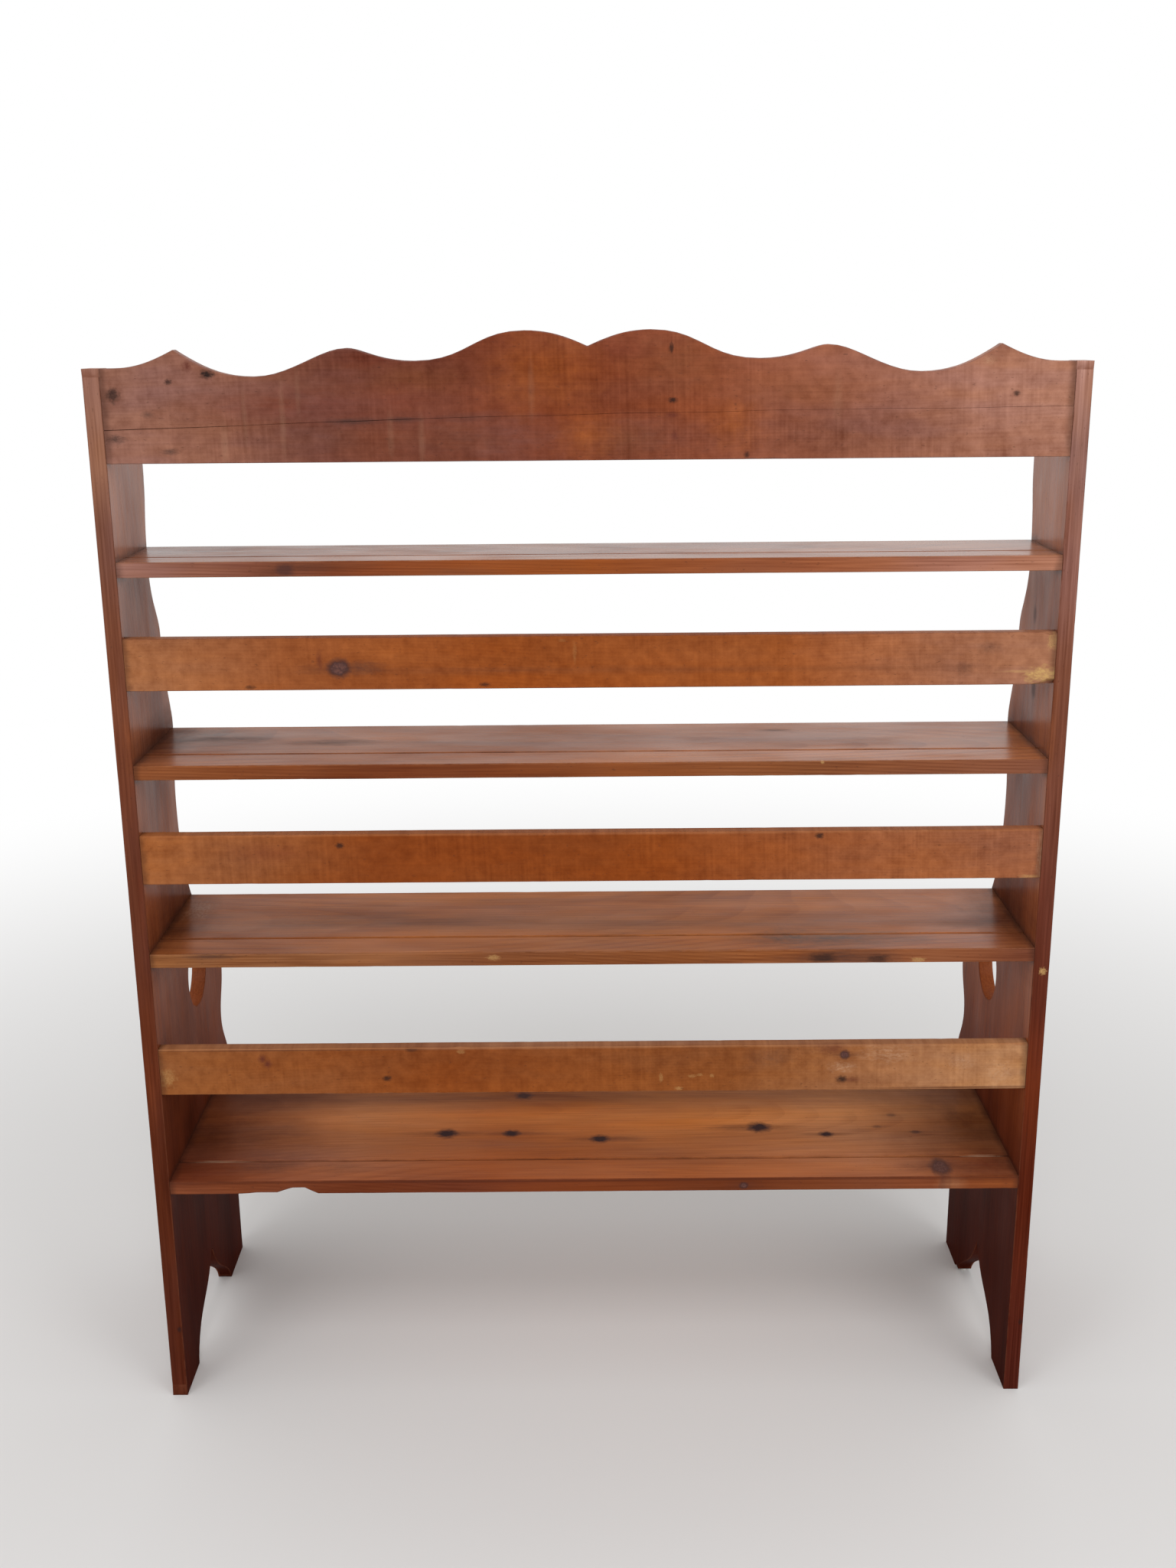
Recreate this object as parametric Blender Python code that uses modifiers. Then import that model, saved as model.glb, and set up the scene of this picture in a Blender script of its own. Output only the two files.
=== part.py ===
"""Standing plate display shelf in stained pine.

Two shaped sides carry four grooved shelves, three plate rails and a scrolled crest.
The shelves' shouldered tongues sit in stopped housings, the rails and the crest butt between
the sides, and cut nails driven through the sides hold every board. One foot stands on a glide.

Metres, +Z up. The straight edges of the sides face -Y, the shaped edges face +Y, and the
origin is on the floor under the middle. Depths are measured from the straight edges.
"""

from math import pi

import bmesh
import bpy
from mathutils import Matrix

# Overall sizes
WIDTH = 1.270
SIDE_DEPTH = 0.408
SIDE_THICKNESS = 0.022
CLEARANCE = 0.0003

# Clear heights, stacked up from the floor
LEG_HEIGHT = 0.337
BOTTOM_BAY = 0.332
MIDDLE_BAY = 0.2505
UPPER_BAY = 0.253
TOP_BAY = 0.1255

# Shelves
SHELF_THICKNESS = 0.020
BOTTOM_SHELF_REVEAL = 0.004
THIRD_SHELF_DEPTH = 0.248
SECOND_SHELF_DEPTH = 0.217
TOP_SHELF_DEPTH = 0.156
HOUSING_DEPTH = 0.006
HOUSING_STOP = 0.020
TONGUE_SHOULDER = 0.003
GROOVE_SETBACK = 0.060
TOP_GROOVE_SETBACK = 0.048
GROOVE_WIDTH = 0.007
GROOVE_DEPTH = 0.0025

# Plate rails, each lifted above the shelf under it
RAIL_HEIGHT = 0.070
RAIL_THICKNESS = 0.019
LOWER_RAIL_LIFT = 0.1385
MIDDLE_RAIL_LIFT = 0.1025
UPPER_RAIL_LIFT = 0.1025

# Crest: its height at the ends, and the rise of each turn of the scroll above that
CREST_THICKNESS = 0.019
CREST_END_HEIGHT = 0.118
CREST_NOTCH_RISE = 0.0225
CREST_MIDDLE_RISE = 0.0422
CREST_INNER_DIP_RISE = 0.0062
CREST_OUTER_RISE = 0.0225
CREST_OUTER_DIP_RISE = -0.0114
CREST_PEAK_RISE = 0.0220

# Shaped edge of the sides
HEAD_FLAT = 0.035
HEAD_DEPTH = 0.172
HEAD_DROP = 0.013
NECK_DROP = 0.010
CHEST_DEPTH = 0.192
CHEST_DROP = 0.030
SECOND_SHELF_REVEAL = 0.005
TOP_SHELF_REVEAL = 0.001
THIRD_SHELF_REVEAL = 0.003
SHOULDER_LEAN = 0.684
BELLY_LIFT = 0.004
WAIST_DEPTH = 0.205
WAIST_DROP = 0.009
HIP_DROP = 0.025
SCALLOP_DEPTH = 0.029
SCALLOP_DROP = 0.048
KNEE_LIFT = 0.020

# Round hand hole in each side
HOLE_DIAMETER = 0.111
HOLE_SETBACK = 0.159
HOLE_DROP = 0.105

# Pointed arch that leaves two feet on each side
BACK_FOOT = 0.078
FRONT_FOOT = 0.092
ARCH_HEIGHT = 0.125

# Handles of the arch's curves, as shares of the way from a foot's tip to the peak and of the height
BACK_TIP_REACH = (0.175, 0.68)
BACK_PEAK_REACH = (0.69, 0.464)
FRONT_TIP_REACH = (0.20, 0.40)
FRONT_PEAK_REACH = (0.65, 0.36)

# Cut nails
NAIL_LENGTH = 0.050
NAIL_HEAD_HEIGHT = 0.006
NAIL_HEAD_WIDTH = 0.005
NAIL_HEAD_THICKNESS = 0.0015
NAIL_HEAD_LEDGE = 0.00125
NAIL_TIP_HEIGHT = 0.0012
NAIL_SET = 0.0005
SHELF_NAIL_MARGIN = 0.040
RAIL_NAIL_MARGIN = 0.017
CREST_NAIL_MARGIN = 0.022

# Glide under one front foot
GLIDE_DIAMETER = 0.010
GLIDE_HEIGHT = 0.006
GLIDE_SEAT = 0.020
GLIDE_INSET = 0.005
GLIDE_PIN_DIAMETER = 0.0022
GLIDE_PIN_LENGTH = 0.014

# How finely curves are drawn, and how far a cutter runs past what it cuts
CURVE_STEPS = 10
ROUND_STEPS = 24
CUT_PAST = 0.002
CIRCLE_HANDLE = 0.5523

# Places worked out from the sizes above
BACK_Y = -SIDE_DEPTH / 2
INNER_X = WIDTH / 2 - SIDE_THICKNESS
BOTTOM_SHELF_DEPTH = SIDE_DEPTH - BOTTOM_SHELF_REVEAL
SIDE_MIDDLE_X = WIDTH / 2 - SIDE_THICKNESS / 2
BOTTOM_SHELF_TOP = LEG_HEIGHT + SHELF_THICKNESS
THIRD_SHELF_TOP = BOTTOM_SHELF_TOP + BOTTOM_BAY + SHELF_THICKNESS
SECOND_SHELF_TOP = THIRD_SHELF_TOP + MIDDLE_BAY + SHELF_THICKNESS
TOP_SHELF_TOP = SECOND_SHELF_TOP + UPPER_BAY + SHELF_THICKNESS
CREST_BOTTOM = TOP_SHELF_TOP + TOP_BAY
SIDE_TOP = CREST_BOTTOM + CREST_END_HEIGHT

# name, height of the top face, depth, setback of the groove, nails at each end
SHELVES = (
    ("bottom_shelf", BOTTOM_SHELF_TOP, BOTTOM_SHELF_DEPTH, GROOVE_SETBACK, 3),
    ("third_shelf", THIRD_SHELF_TOP, THIRD_SHELF_DEPTH, GROOVE_SETBACK, 2),
    ("second_shelf", SECOND_SHELF_TOP, SECOND_SHELF_DEPTH, GROOVE_SETBACK, 2),
    ("top_shelf", TOP_SHELF_TOP, TOP_SHELF_DEPTH, TOP_GROOVE_SETBACK, 2),
)

# name, height of the lower edge
RAILS = (
    ("lower_plate_rail", BOTTOM_SHELF_TOP + LOWER_RAIL_LIFT),
    ("middle_plate_rail", THIRD_SHELF_TOP + MIDDLE_RAIL_LIFT),
    ("upper_plate_rail", SECOND_SHELF_TOP + UPPER_RAIL_LIFT),
)

SIDES = (("left", -1), ("right", 1))

# name: colour, roughness, metallic value
FINISHES = {
    "side_pine": ((0.200, 0.060, 0.034), 0.48, 0.0),
    "shelf_pine": ((0.275, 0.092, 0.042), 0.42, 0.0),
    "rail_pine": ((0.310, 0.100, 0.036), 0.52, 0.0),
    "crest_pine": ((0.270, 0.098, 0.052), 0.50, 0.0),
    "nail_iron": ((0.045, 0.040, 0.037), 0.60, 1.0),
    "glide_white": ((0.820, 0.820, 0.790), 0.40, 0.0),
}


def clear_scene():
    for thing in list(bpy.data.objects):
        bpy.data.objects.remove(thing, do_unlink=True)


def new_collection(name, parent):
    collection = bpy.data.collections.new(name)
    parent.children.link(collection)
    return collection


def make_finish(name, colour, roughness, metallic):
    material = bpy.data.materials.new(name)
    material.use_nodes = True
    shader = material.node_tree.nodes["Principled BSDF"]
    shader.inputs["Base Color"].default_value = (*colour, 1.0)
    shader.inputs["Roughness"].default_value = roughness
    shader.inputs["Metallic"].default_value = metallic
    material.diffuse_color = (*colour, 1.0)
    return material


def add_part(name, mesh, finish):
    """A visible piece in the shelf's collection, under the shelf's empty."""
    part = bpy.data.objects.new(name, mesh)
    mesh.materials.clear()
    mesh.materials.append(finish)
    shelf_parts.objects.link(part)
    part.parent = shelf_empty
    return part


def add_cutter(name, mesh, boards):
    """A hidden cutter, linked into the cutter collection of every board that it cuts."""
    cutter = bpy.data.objects.new(name, mesh)
    cutter.hide_render = True
    cutter.display_type = "WIRE"
    for board in boards:
        board_cutters[board].objects.link(cutter)
    return cutter


def cut_board(board):
    """Cuts everything in a board's cutter collection out of the board."""
    cut = board.modifiers.new("cuts", "BOOLEAN")
    cut.operation = "DIFFERENCE"
    cut.solver = "EXACT"
    cut.operand_type = "COLLECTION"
    cut.collection = board_cutters[board.name]


def box_mesh(name, low, high):
    """A box between two corners."""
    size = [b - a for a, b in zip(low, high)]
    middle = [(a + b) / 2 for a, b in zip(low, high)]
    shape = bmesh.new()
    bmesh.ops.create_cube(shape, size=1.0, matrix=Matrix.LocRotScale(middle, None, size))
    mesh = bpy.data.meshes.new(name)
    shape.to_mesh(mesh)
    shape.free()
    return mesh


def set_handle(point, side, place):
    """A curve point's handle: free at a place, or straight towards the neighbour."""
    if place is None:
        setattr(point, f"handle_{side}_type", "VECTOR")
        return
    setattr(point, f"handle_{side}_type", "FREE")
    setattr(point, f"handle_{side}", (*place, 0.0))


def outline_mesh(name, loops, thickness):
    """A flat outline with its thickness. Each loop lists corners: place, handle before, handle after."""
    curve = bpy.data.curves.new(name, "CURVE")
    curve.dimensions = "2D"
    curve.fill_mode = "BOTH"
    curve.extrude = thickness / 2
    curve.resolution_u = CURVE_STEPS
    for corners in loops:
        spline = curve.splines.new("BEZIER")
        spline.bezier_points.add(len(corners) - 1)
        spline.use_cyclic_u = True
        for point, (place, _, _) in zip(spline.bezier_points, corners):
            point.co = (*place, 0.0)
        for point, (_, before, after) in zip(spline.bezier_points, corners):
            set_handle(point, "left", before)
            set_handle(point, "right", after)
    drawing = bpy.data.objects.new(name, curve)
    shelf_parts.objects.link(drawing)
    graph = bpy.context.evaluated_depsgraph_get()
    mesh = bpy.data.meshes.new_from_object(drawing.evaluated_get(graph))
    bpy.data.objects.remove(drawing)
    shape = bmesh.new()
    shape.from_mesh(mesh)
    bmesh.ops.remove_doubles(shape, verts=shape.verts, dist=0.00001)
    shape.to_mesh(mesh)
    shape.free()
    return mesh


def between(start, end, share):
    return start + (end - start) * share


def shaped_edge():
    """Corners of a side's shaped edge, from its head down to the floor.

    A turn's two reaches are shares of the rise to the turn above and of the fall to the turn
    below. Its handles stand upright, or lean outwards by a run for each unit of fall.
    """
    rail_bottom = dict(RAILS)
    upper_rail_top = rail_bottom["upper_plate_rail"] + RAIL_HEIGHT
    middle_rail_top = rail_bottom["middle_plate_rail"] + RAIL_HEIGHT
    lower_rail_top = rail_bottom["lower_plate_rail"] + RAIL_HEIGHT
    neck_height = TOP_SHELF_TOP - SHELF_THICKNESS - NECK_DROP
    scallop_height = rail_bottom["lower_plate_rail"] - SCALLOP_DROP
    turns = (
        (HEAD_DEPTH, CREST_BOTTOM - HEAD_DROP, CIRCLE_HANDLE, 0.49, 0.0),
        (TOP_SHELF_DEPTH + TOP_SHELF_REVEAL, neck_height, 0.59, 0.50, 0.0),
        (CHEST_DEPTH, upper_rail_top - CHEST_DROP, 0.31, 0.56, 0.0),
        (SECOND_SHELF_DEPTH + SECOND_SHELF_REVEAL, SECOND_SHELF_TOP + BELLY_LIFT, 0.23, 0.46, 0.0),
        (WAIST_DEPTH, middle_rail_top - WAIST_DROP, 0.39, 0.45, 0.0),
        (THIRD_SHELF_DEPTH + THIRD_SHELF_REVEAL, THIRD_SHELF_TOP, 0.24, 0.52, SHOULDER_LEAN),
        (SIDE_DEPTH, lower_rail_top - HIP_DROP, 0.34, 0.55, 0.0),
        (SIDE_DEPTH - SCALLOP_DEPTH, scallop_height, 0.39, 0.43, 0.0),
    )
    knee = (SIDE_DEPTH, BOTTOM_SHELF_TOP + KNEE_LIFT)
    heights = [SIDE_TOP] + [turn[1] for turn in turns] + [knee[1]]
    corners = []
    for above, below, (depth, height, reach_up, reach_down, lean) in zip(heights, heights[2:], turns):
        rise = reach_up * (above - height)
        fall = reach_down * (height - below)
        handle_up = (depth - lean * rise, height + rise)
        handle_down = (depth + lean * fall, height - fall)
        corners.append(((depth, height), handle_up, handle_down))
    knee_handle = (knee[0], between(knee[1], scallop_height, 0.25))
    corners.append((knee, knee_handle, None))
    return corners


def arch_handle(tip, peak, reach):
    return (between(tip, peak, reach[0]), reach[1] * ARCH_HEIGHT)


def side_mesh(name):
    """One side: straight edge, rounded head, shaped edge, two arched feet and the hand hole."""
    front_tip = SIDE_DEPTH - FRONT_FOOT
    peak = SIDE_DEPTH / 2
    head_handle = (between(HEAD_FLAT, HEAD_DEPTH, CIRCLE_HANDLE), SIDE_TOP)
    front_tip_handle = arch_handle(front_tip, peak, FRONT_TIP_REACH)
    front_peak_handle = arch_handle(front_tip, peak, FRONT_PEAK_REACH)
    back_peak_handle = arch_handle(BACK_FOOT, peak, BACK_PEAK_REACH)
    back_tip_handle = arch_handle(BACK_FOOT, peak, BACK_TIP_REACH)
    outline = [
        ((0.0, 0.0), None, None),
        ((0.0, SIDE_TOP), None, None),
        ((HEAD_FLAT, SIDE_TOP), None, head_handle),
        *shaped_edge(),
        ((SIDE_DEPTH, 0.0), None, None),
        ((front_tip, 0.0), None, front_tip_handle),
        ((peak, ARCH_HEIGHT), front_peak_handle, back_peak_handle),
        ((BACK_FOOT, 0.0), back_tip_handle, None),
    ]
    hole_depth = SIDE_DEPTH - HOLE_SETBACK
    hole_height = THIRD_SHELF_TOP - SHELF_THICKNESS - HOLE_DROP
    radius = HOLE_DIAMETER / 2
    handle = radius * CIRCLE_HANDLE
    hole = []
    for across, up in ((1, 0), (0, 1), (-1, 0), (0, -1)):
        x = hole_depth + radius * across
        z = hole_height + radius * up
        before = (x + handle * up, z - handle * across)
        after = (x - handle * up, z + handle * across)
        hole.append(((x, z), before, after))
    return outline_mesh(name, (outline, hole), SIDE_THICKNESS)


def mirrored(place):
    return place and (-place[0], place[1])


def crest_mesh(name):
    """The crest's scroll, from the right end over the middle to the left end, on a straight lower edge."""
    half_length = INNER_X - CLEARANCE
    # share of the half length, rise, reach and slope towards the middle, reach and slope towards the end
    turns = (
        (0.130, CREST_MIDDLE_RISE, 0.40, 0.0, 0.45, 0.0),
        (0.356, CREST_INNER_DIP_RISE, 0.49, 0.0, 0.54, 0.0),
        (0.494, CREST_OUTER_RISE, 0.22, 0.0, 0.28, 0.0),
        (0.688, CREST_OUTER_DIP_RISE, 0.41, 0.0, 0.45, 0.0),
        (0.847, CREST_PEAK_RISE, 0.30, 0.62, 0.35, -0.50),
        (0.979, 0.0, 0.40, 0.0, 0.0, 0.0),
    )
    notch_reach = 0.33
    notch_slope = 0.45
    places = [0.0] + [turn[0] * half_length for turn in turns] + [half_length]
    right_half = []
    for inner, outer, turn in zip(places, places[2:], turns):
        share, rise, reach_in, slope_in, reach_out, slope_out = turn
        x = share * half_length
        z = CREST_END_HEIGHT + rise
        step_in = reach_in * (x - inner)
        step_out = reach_out * (outer - x)
        towards_middle = (x - step_in, z - slope_in * step_in)
        towards_end = (x + step_out, z + slope_out * step_out) if reach_out else None
        right_half.append(((x, z), towards_middle, towards_end))
    notch = (0.0, CREST_END_HEIGHT + CREST_NOTCH_RISE)
    notch_step = notch_reach * places[1]
    notch_lift = notch[1] + notch_slope * notch_step
    left_half = []
    for place, towards_middle, towards_end in right_half:
        left_half.append((mirrored(place), mirrored(towards_middle), mirrored(towards_end)))
    outline = [((half_length, 0.0), None, None), ((half_length, CREST_END_HEIGHT), None, None)]
    for place, towards_middle, towards_end in reversed(right_half):
        outline.append((place, towards_end, towards_middle))
    outline.append((notch, (notch_step, notch_lift), (-notch_step, notch_lift)))
    outline.extend(left_half)
    outline.append(((-half_length, CREST_END_HEIGHT), None, None))
    outline.append(((-half_length, 0.0), None, None))
    return outline_mesh(name, (outline,), CREST_THICKNESS)


def shelf_mesh(name, depth):
    """A shelf seen from above: full length between the stops of its housings, notched at the corners."""
    shoulder = INNER_X - CLEARANCE
    tongue = INNER_X + HOUSING_DEPTH - CLEARANCE
    right = (
        (shoulder, 0.0),
        (shoulder, HOUSING_STOP),
        (tongue, HOUSING_STOP),
        (tongue, depth - HOUSING_STOP),
        (shoulder, depth - HOUSING_STOP),
        (shoulder, depth),
    )
    places = list(right) + [(-x, y) for x, y in reversed(right)]
    return outline_mesh(name, ([(place, None, None) for place in places],), SHELF_THICKNESS)


def groove_mesh(name):
    """A round bar, along X, whose lower side makes the plate groove."""
    radius = ((GROOVE_WIDTH / 2) ** 2 + GROOVE_DEPTH**2) / (2 * GROOVE_DEPTH)
    shape = bmesh.new()
    bmesh.ops.create_cone(
        shape,
        cap_ends=True,
        segments=ROUND_STEPS,
        radius1=radius,
        radius2=radius,
        depth=2 * (INNER_X + HOUSING_DEPTH + CUT_PAST),
        matrix=Matrix.Translation((0, 0, radius - GROOVE_DEPTH)) @ Matrix.Rotation(pi / 2, 4, "Y"),
    )
    mesh = bpy.data.meshes.new(name)
    shape.to_mesh(mesh)
    shape.free()
    return mesh


def nail_mesh(name, grow, past):
    """A cut nail along +X with its head's top at X = 0, grown all round, its head drawn out past that."""
    head_height = NAIL_HEAD_HEIGHT + 2 * grow
    head_width = NAIL_HEAD_WIDTH + 2 * grow
    head_end = NAIL_HEAD_THICKNESS + grow
    tip = NAIL_LENGTH + grow
    shape = bmesh.new()
    size = (head_end + past, head_width, head_height)
    middle = ((head_end - past) / 2, 0.0, 0.0)
    bmesh.ops.create_cube(shape, size=1.0, matrix=Matrix.LocRotScale(middle, None, size))
    shape.faces.ensure_lookup_table()
    inner_face = max(shape.faces, key=lambda face: face.calc_center_median().x)
    bmesh.ops.inset_region(shape, faces=[inner_face], thickness=NAIL_HEAD_LEDGE, use_even_offset=True)
    drawn = bmesh.ops.extrude_discrete_faces(shape, faces=[inner_face])
    tip_height = NAIL_TIP_HEIGHT + 2 * grow
    shank_height = head_height - 2 * NAIL_HEAD_LEDGE
    for vertex in drawn["faces"][0].verts:
        vertex.co.x = tip
        vertex.co.z *= tip_height / shank_height
    mesh = bpy.data.meshes.new(name)
    shape.to_mesh(mesh)
    shape.free()
    return mesh


def turned_mesh(name, profile):
    """A solid turned about Z. Its profile starts and ends on the axis, top first."""
    shape = bmesh.new()
    points = [shape.verts.new((radius, 0.0, height)) for radius, height in profile]
    for upper, lower in zip(points, points[1:]):
        shape.edges.new((upper, lower))
    line = bpy.data.meshes.new(name + "_profile")
    shape.to_mesh(line)
    shape.free()
    lathe = bpy.data.objects.new(name + "_profile", line)
    shelf_parts.objects.link(lathe)
    screw = lathe.modifiers.new("turned", "SCREW")
    screw.steps = ROUND_STEPS
    screw.render_steps = ROUND_STEPS
    screw.use_merge_vertices = True
    screw.merge_threshold = 0.00001
    graph = bpy.context.evaluated_depsgraph_get()
    mesh = bpy.data.meshes.new_from_object(lathe.evaluated_get(graph))
    bpy.data.objects.remove(lathe)
    return mesh


def glide_mesh(name, grow):
    """A domed glide that stands on Z = 0, with its pin upwards."""
    pin = GLIDE_PIN_DIAMETER / 2 + grow
    top = GLIDE_HEIGHT + GLIDE_PIN_LENGTH + grow
    button = GLIDE_DIAMETER / 2
    profile = (
        (0.0, top),
        (pin, top),
        (pin, GLIDE_HEIGHT),
        (0.85 * button, GLIDE_HEIGHT),
        (button, 0.75 * GLIDE_HEIGHT),
        (button, 0.35 * GLIDE_HEIGHT),
        (0.70 * button, 0.0),
        (0.0, 0.0),
    )
    return turned_mesh(name, profile)


def drive_nail(name, board, side, side_sign, y, z):
    """One nail through a side into a board's end, with its pocket cut from both."""
    place = (side_sign * (WIDTH / 2 - NAIL_SET), y, z)
    turn = pi if side_sign > 0 else 0.0
    nail = add_part(name, nail_mesh(name, 0.0, 0.0), finishes["nail_iron"])
    pocket = add_cutter(name + "_pocket", nail_mesh(name + "_pocket", CLEARANCE, CUT_PAST), (board, side))
    for piece in (nail, pocket):
        piece.location = place
        piece.rotation_euler.z = turn


def even_places(low, high, count):
    return [between(low, high, i / (count - 1)) for i in range(count)]


def add_sides():
    for label, sign in SIDES:
        name = label + "_side"
        side = add_part(name, side_mesh(name), finishes["side_pine"])
        side.location = (sign * SIDE_MIDDLE_X, BACK_Y, 0.0)
        side.rotation_euler = (pi / 2, 0.0, pi / 2)
        cut_board(side)


def add_shelves():
    for name, top, depth, setback, nails in SHELVES:
        middle = top - SHELF_THICKNESS / 2
        shelf = add_part(name, shelf_mesh(name, depth), finishes["shelf_pine"])
        shelf.location = (0.0, BACK_Y, middle)
        groove = add_cutter(name + "_groove", groove_mesh(name + "_groove"), (name,))
        groove.location = (0.0, BACK_Y + setback, top)
        for label, sign in SIDES:
            add_housing(name, label, sign, top, depth)
            depths = even_places(SHELF_NAIL_MARGIN, depth - SHELF_NAIL_MARGIN, nails)
            for number, nail_depth in enumerate(depths, 1):
                nail_name = f"nail_{name}_{label}_{number}"
                drive_nail(nail_name, name, label + "_side", sign, BACK_Y + nail_depth, middle)
        cut_board(shelf)


def add_housing(shelf, label, sign, top, depth):
    """The stopped slot in a side, and the shoulder that lets a shelf's tongue into it below the top face."""
    tongue_top = top - TONGUE_SHOULDER
    front_stop = BACK_Y + depth - HOUSING_STOP
    slot_ends = sorted((sign * (INNER_X - CUT_PAST), sign * (INNER_X + HOUSING_DEPTH)))
    low = (slot_ends[0], BACK_Y + HOUSING_STOP - CLEARANCE, top - SHELF_THICKNESS - CLEARANCE)
    high = (slot_ends[1], front_stop + CLEARANCE, tongue_top + CLEARANCE)
    slot = f"{shelf}_{label}_housing"
    add_cutter(slot, box_mesh(slot, low, high), (label + "_side",))
    step_ends = sorted((sign * (INNER_X - CLEARANCE), sign * (INNER_X + HOUSING_DEPTH + CUT_PAST)))
    low = (step_ends[0], BACK_Y + HOUSING_STOP - CUT_PAST, tongue_top)
    high = (step_ends[1], front_stop + CUT_PAST, top + CUT_PAST)
    step = f"{shelf}_{label}_shoulder"
    add_cutter(step, box_mesh(step, low, high), (shelf,))


def add_rails():
    for name, bottom in RAILS:
        low = (-INNER_X + CLEARANCE, BACK_Y, bottom)
        high = (INNER_X - CLEARANCE, BACK_Y + RAIL_THICKNESS, bottom + RAIL_HEIGHT)
        rail = add_part(name, box_mesh(name, low, high), finishes["rail_pine"])
        heights = even_places(bottom + RAIL_NAIL_MARGIN, bottom + RAIL_HEIGHT - RAIL_NAIL_MARGIN, 2)
        nail_end_board(name, heights, RAIL_THICKNESS)
        cut_board(rail)


def add_crest():
    crest = add_part("crest", crest_mesh("crest"), finishes["crest_pine"])
    crest.location = (0.0, BACK_Y + CREST_THICKNESS / 2, CREST_BOTTOM)
    crest.rotation_euler.x = pi / 2
    heights = even_places(CREST_BOTTOM + CREST_NAIL_MARGIN, SIDE_TOP - CREST_NAIL_MARGIN, 3)
    nail_end_board("crest", heights, CREST_THICKNESS)
    cut_board(crest)


def nail_end_board(board, heights, thickness):
    """Nails at these heights through both sides into an upright board."""
    for label, sign in SIDES:
        for number, height in enumerate(heights, 1):
            nail_name = f"nail_{board}_{label}_{number}"
            drive_nail(nail_name, board, label + "_side", sign, BACK_Y + thickness / 2, height)


def add_glide():
    """A glide under the worn tip of the right front foot, with the tip cut back to take it."""
    tip_y = BACK_Y + SIDE_DEPTH - FRONT_FOOT
    glide = add_part("foot_glide", glide_mesh("foot_glide", 0.0), finishes["glide_white"])
    pin_hole = add_cutter("glide_pin_hole", glide_mesh("glide_pin_hole", CLEARANCE), ("right_side",))
    for piece in (glide, pin_hole):
        piece.location = (SIDE_MIDDLE_X, tip_y + GLIDE_INSET, 0.0)
    low = (INNER_X - CUT_PAST, tip_y - FRONT_FOOT / 2, -CUT_PAST)
    high = (WIDTH / 2 + CUT_PAST, tip_y + GLIDE_SEAT, GLIDE_HEIGHT + CLEARANCE)
    add_cutter("glide_seat", box_mesh("glide_seat", low, high), ("right_side",))


clear_scene()
shelf_parts = new_collection("plate_display_shelf", bpy.context.scene.collection)
cutters = new_collection("cutters", bpy.context.scene.collection)
board_names = ["left_side", "right_side", "crest"] + [row[0] for row in SHELVES + RAILS]
board_cutters = {name: new_collection(name + "_cutters", cutters) for name in board_names}
finishes = {name: make_finish(name, *values) for name, values in FINISHES.items()}
shelf_empty = bpy.data.objects.new("plate_display_shelf", None)
shelf_parts.objects.link(shelf_empty)
add_sides()
add_shelves()
add_rails()
add_crest()
add_glide()
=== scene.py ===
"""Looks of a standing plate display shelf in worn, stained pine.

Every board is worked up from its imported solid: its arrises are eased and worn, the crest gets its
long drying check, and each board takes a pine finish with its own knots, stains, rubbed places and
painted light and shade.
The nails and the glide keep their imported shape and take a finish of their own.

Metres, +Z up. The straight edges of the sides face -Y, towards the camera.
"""

import math
from dataclasses import dataclass, field

import bmesh
import bpy
from mathutils import Matrix, Vector, kdtree, noise


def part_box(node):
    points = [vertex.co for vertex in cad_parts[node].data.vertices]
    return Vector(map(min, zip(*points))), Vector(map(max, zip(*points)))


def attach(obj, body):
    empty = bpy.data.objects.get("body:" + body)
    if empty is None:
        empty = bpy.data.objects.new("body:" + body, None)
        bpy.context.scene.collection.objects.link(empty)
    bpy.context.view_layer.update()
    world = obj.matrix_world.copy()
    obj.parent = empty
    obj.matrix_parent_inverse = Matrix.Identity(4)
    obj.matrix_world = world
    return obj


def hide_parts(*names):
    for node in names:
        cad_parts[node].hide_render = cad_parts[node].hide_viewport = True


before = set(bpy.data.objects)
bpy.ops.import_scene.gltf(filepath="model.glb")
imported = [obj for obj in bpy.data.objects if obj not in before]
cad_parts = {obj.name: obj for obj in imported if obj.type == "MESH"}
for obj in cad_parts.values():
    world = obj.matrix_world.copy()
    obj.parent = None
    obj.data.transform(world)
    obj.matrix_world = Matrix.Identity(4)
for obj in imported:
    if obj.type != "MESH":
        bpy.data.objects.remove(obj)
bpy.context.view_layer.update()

X, Y, Z = 0, 1, 2

# The photograph's view
CAMERA_PLACE = (-0.001, -2.315, 1.551)
CAMERA_PITCH = math.radians(15.889)
CAMERA_YAW = math.radians(-0.074)
CAMERA_ROLL = math.radians(-0.471)
CAMERA_LENS = 37.5

# The room: a pale floor that is white far off, an even light and what the lamps face
FLOOR_SIZE = 30.0
FLOOR_PAINT = (0.74, 0.74, 0.74, 1.0)
FLOOR_WHITENS_FROM = 0.9
FLOOR_WHITE_AT = 3.4
WHITE = (1.0, 1.0, 1.0, 1.0)
EVEN_LIGHT = (1.0, 0.985, 0.97, 1.0)
EVEN_LIGHT_STRENGTH = 0.75
LAMP_TARGET = (0.0, 0.0, 0.7)

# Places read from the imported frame
NEAR_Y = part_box("left_side")[0].y
INNER_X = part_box("right_side")[0].x
OUTER_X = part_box("right_side")[1].x
SHELF_NODES = ("bottom_shelf", "third_shelf", "second_shelf", "top_shelf")
SHELF_BOXES = {node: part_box(node) for node in SHELF_NODES}
BOTTOM_SHELF_TOP = SHELF_BOXES["bottom_shelf"][1].z

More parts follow.
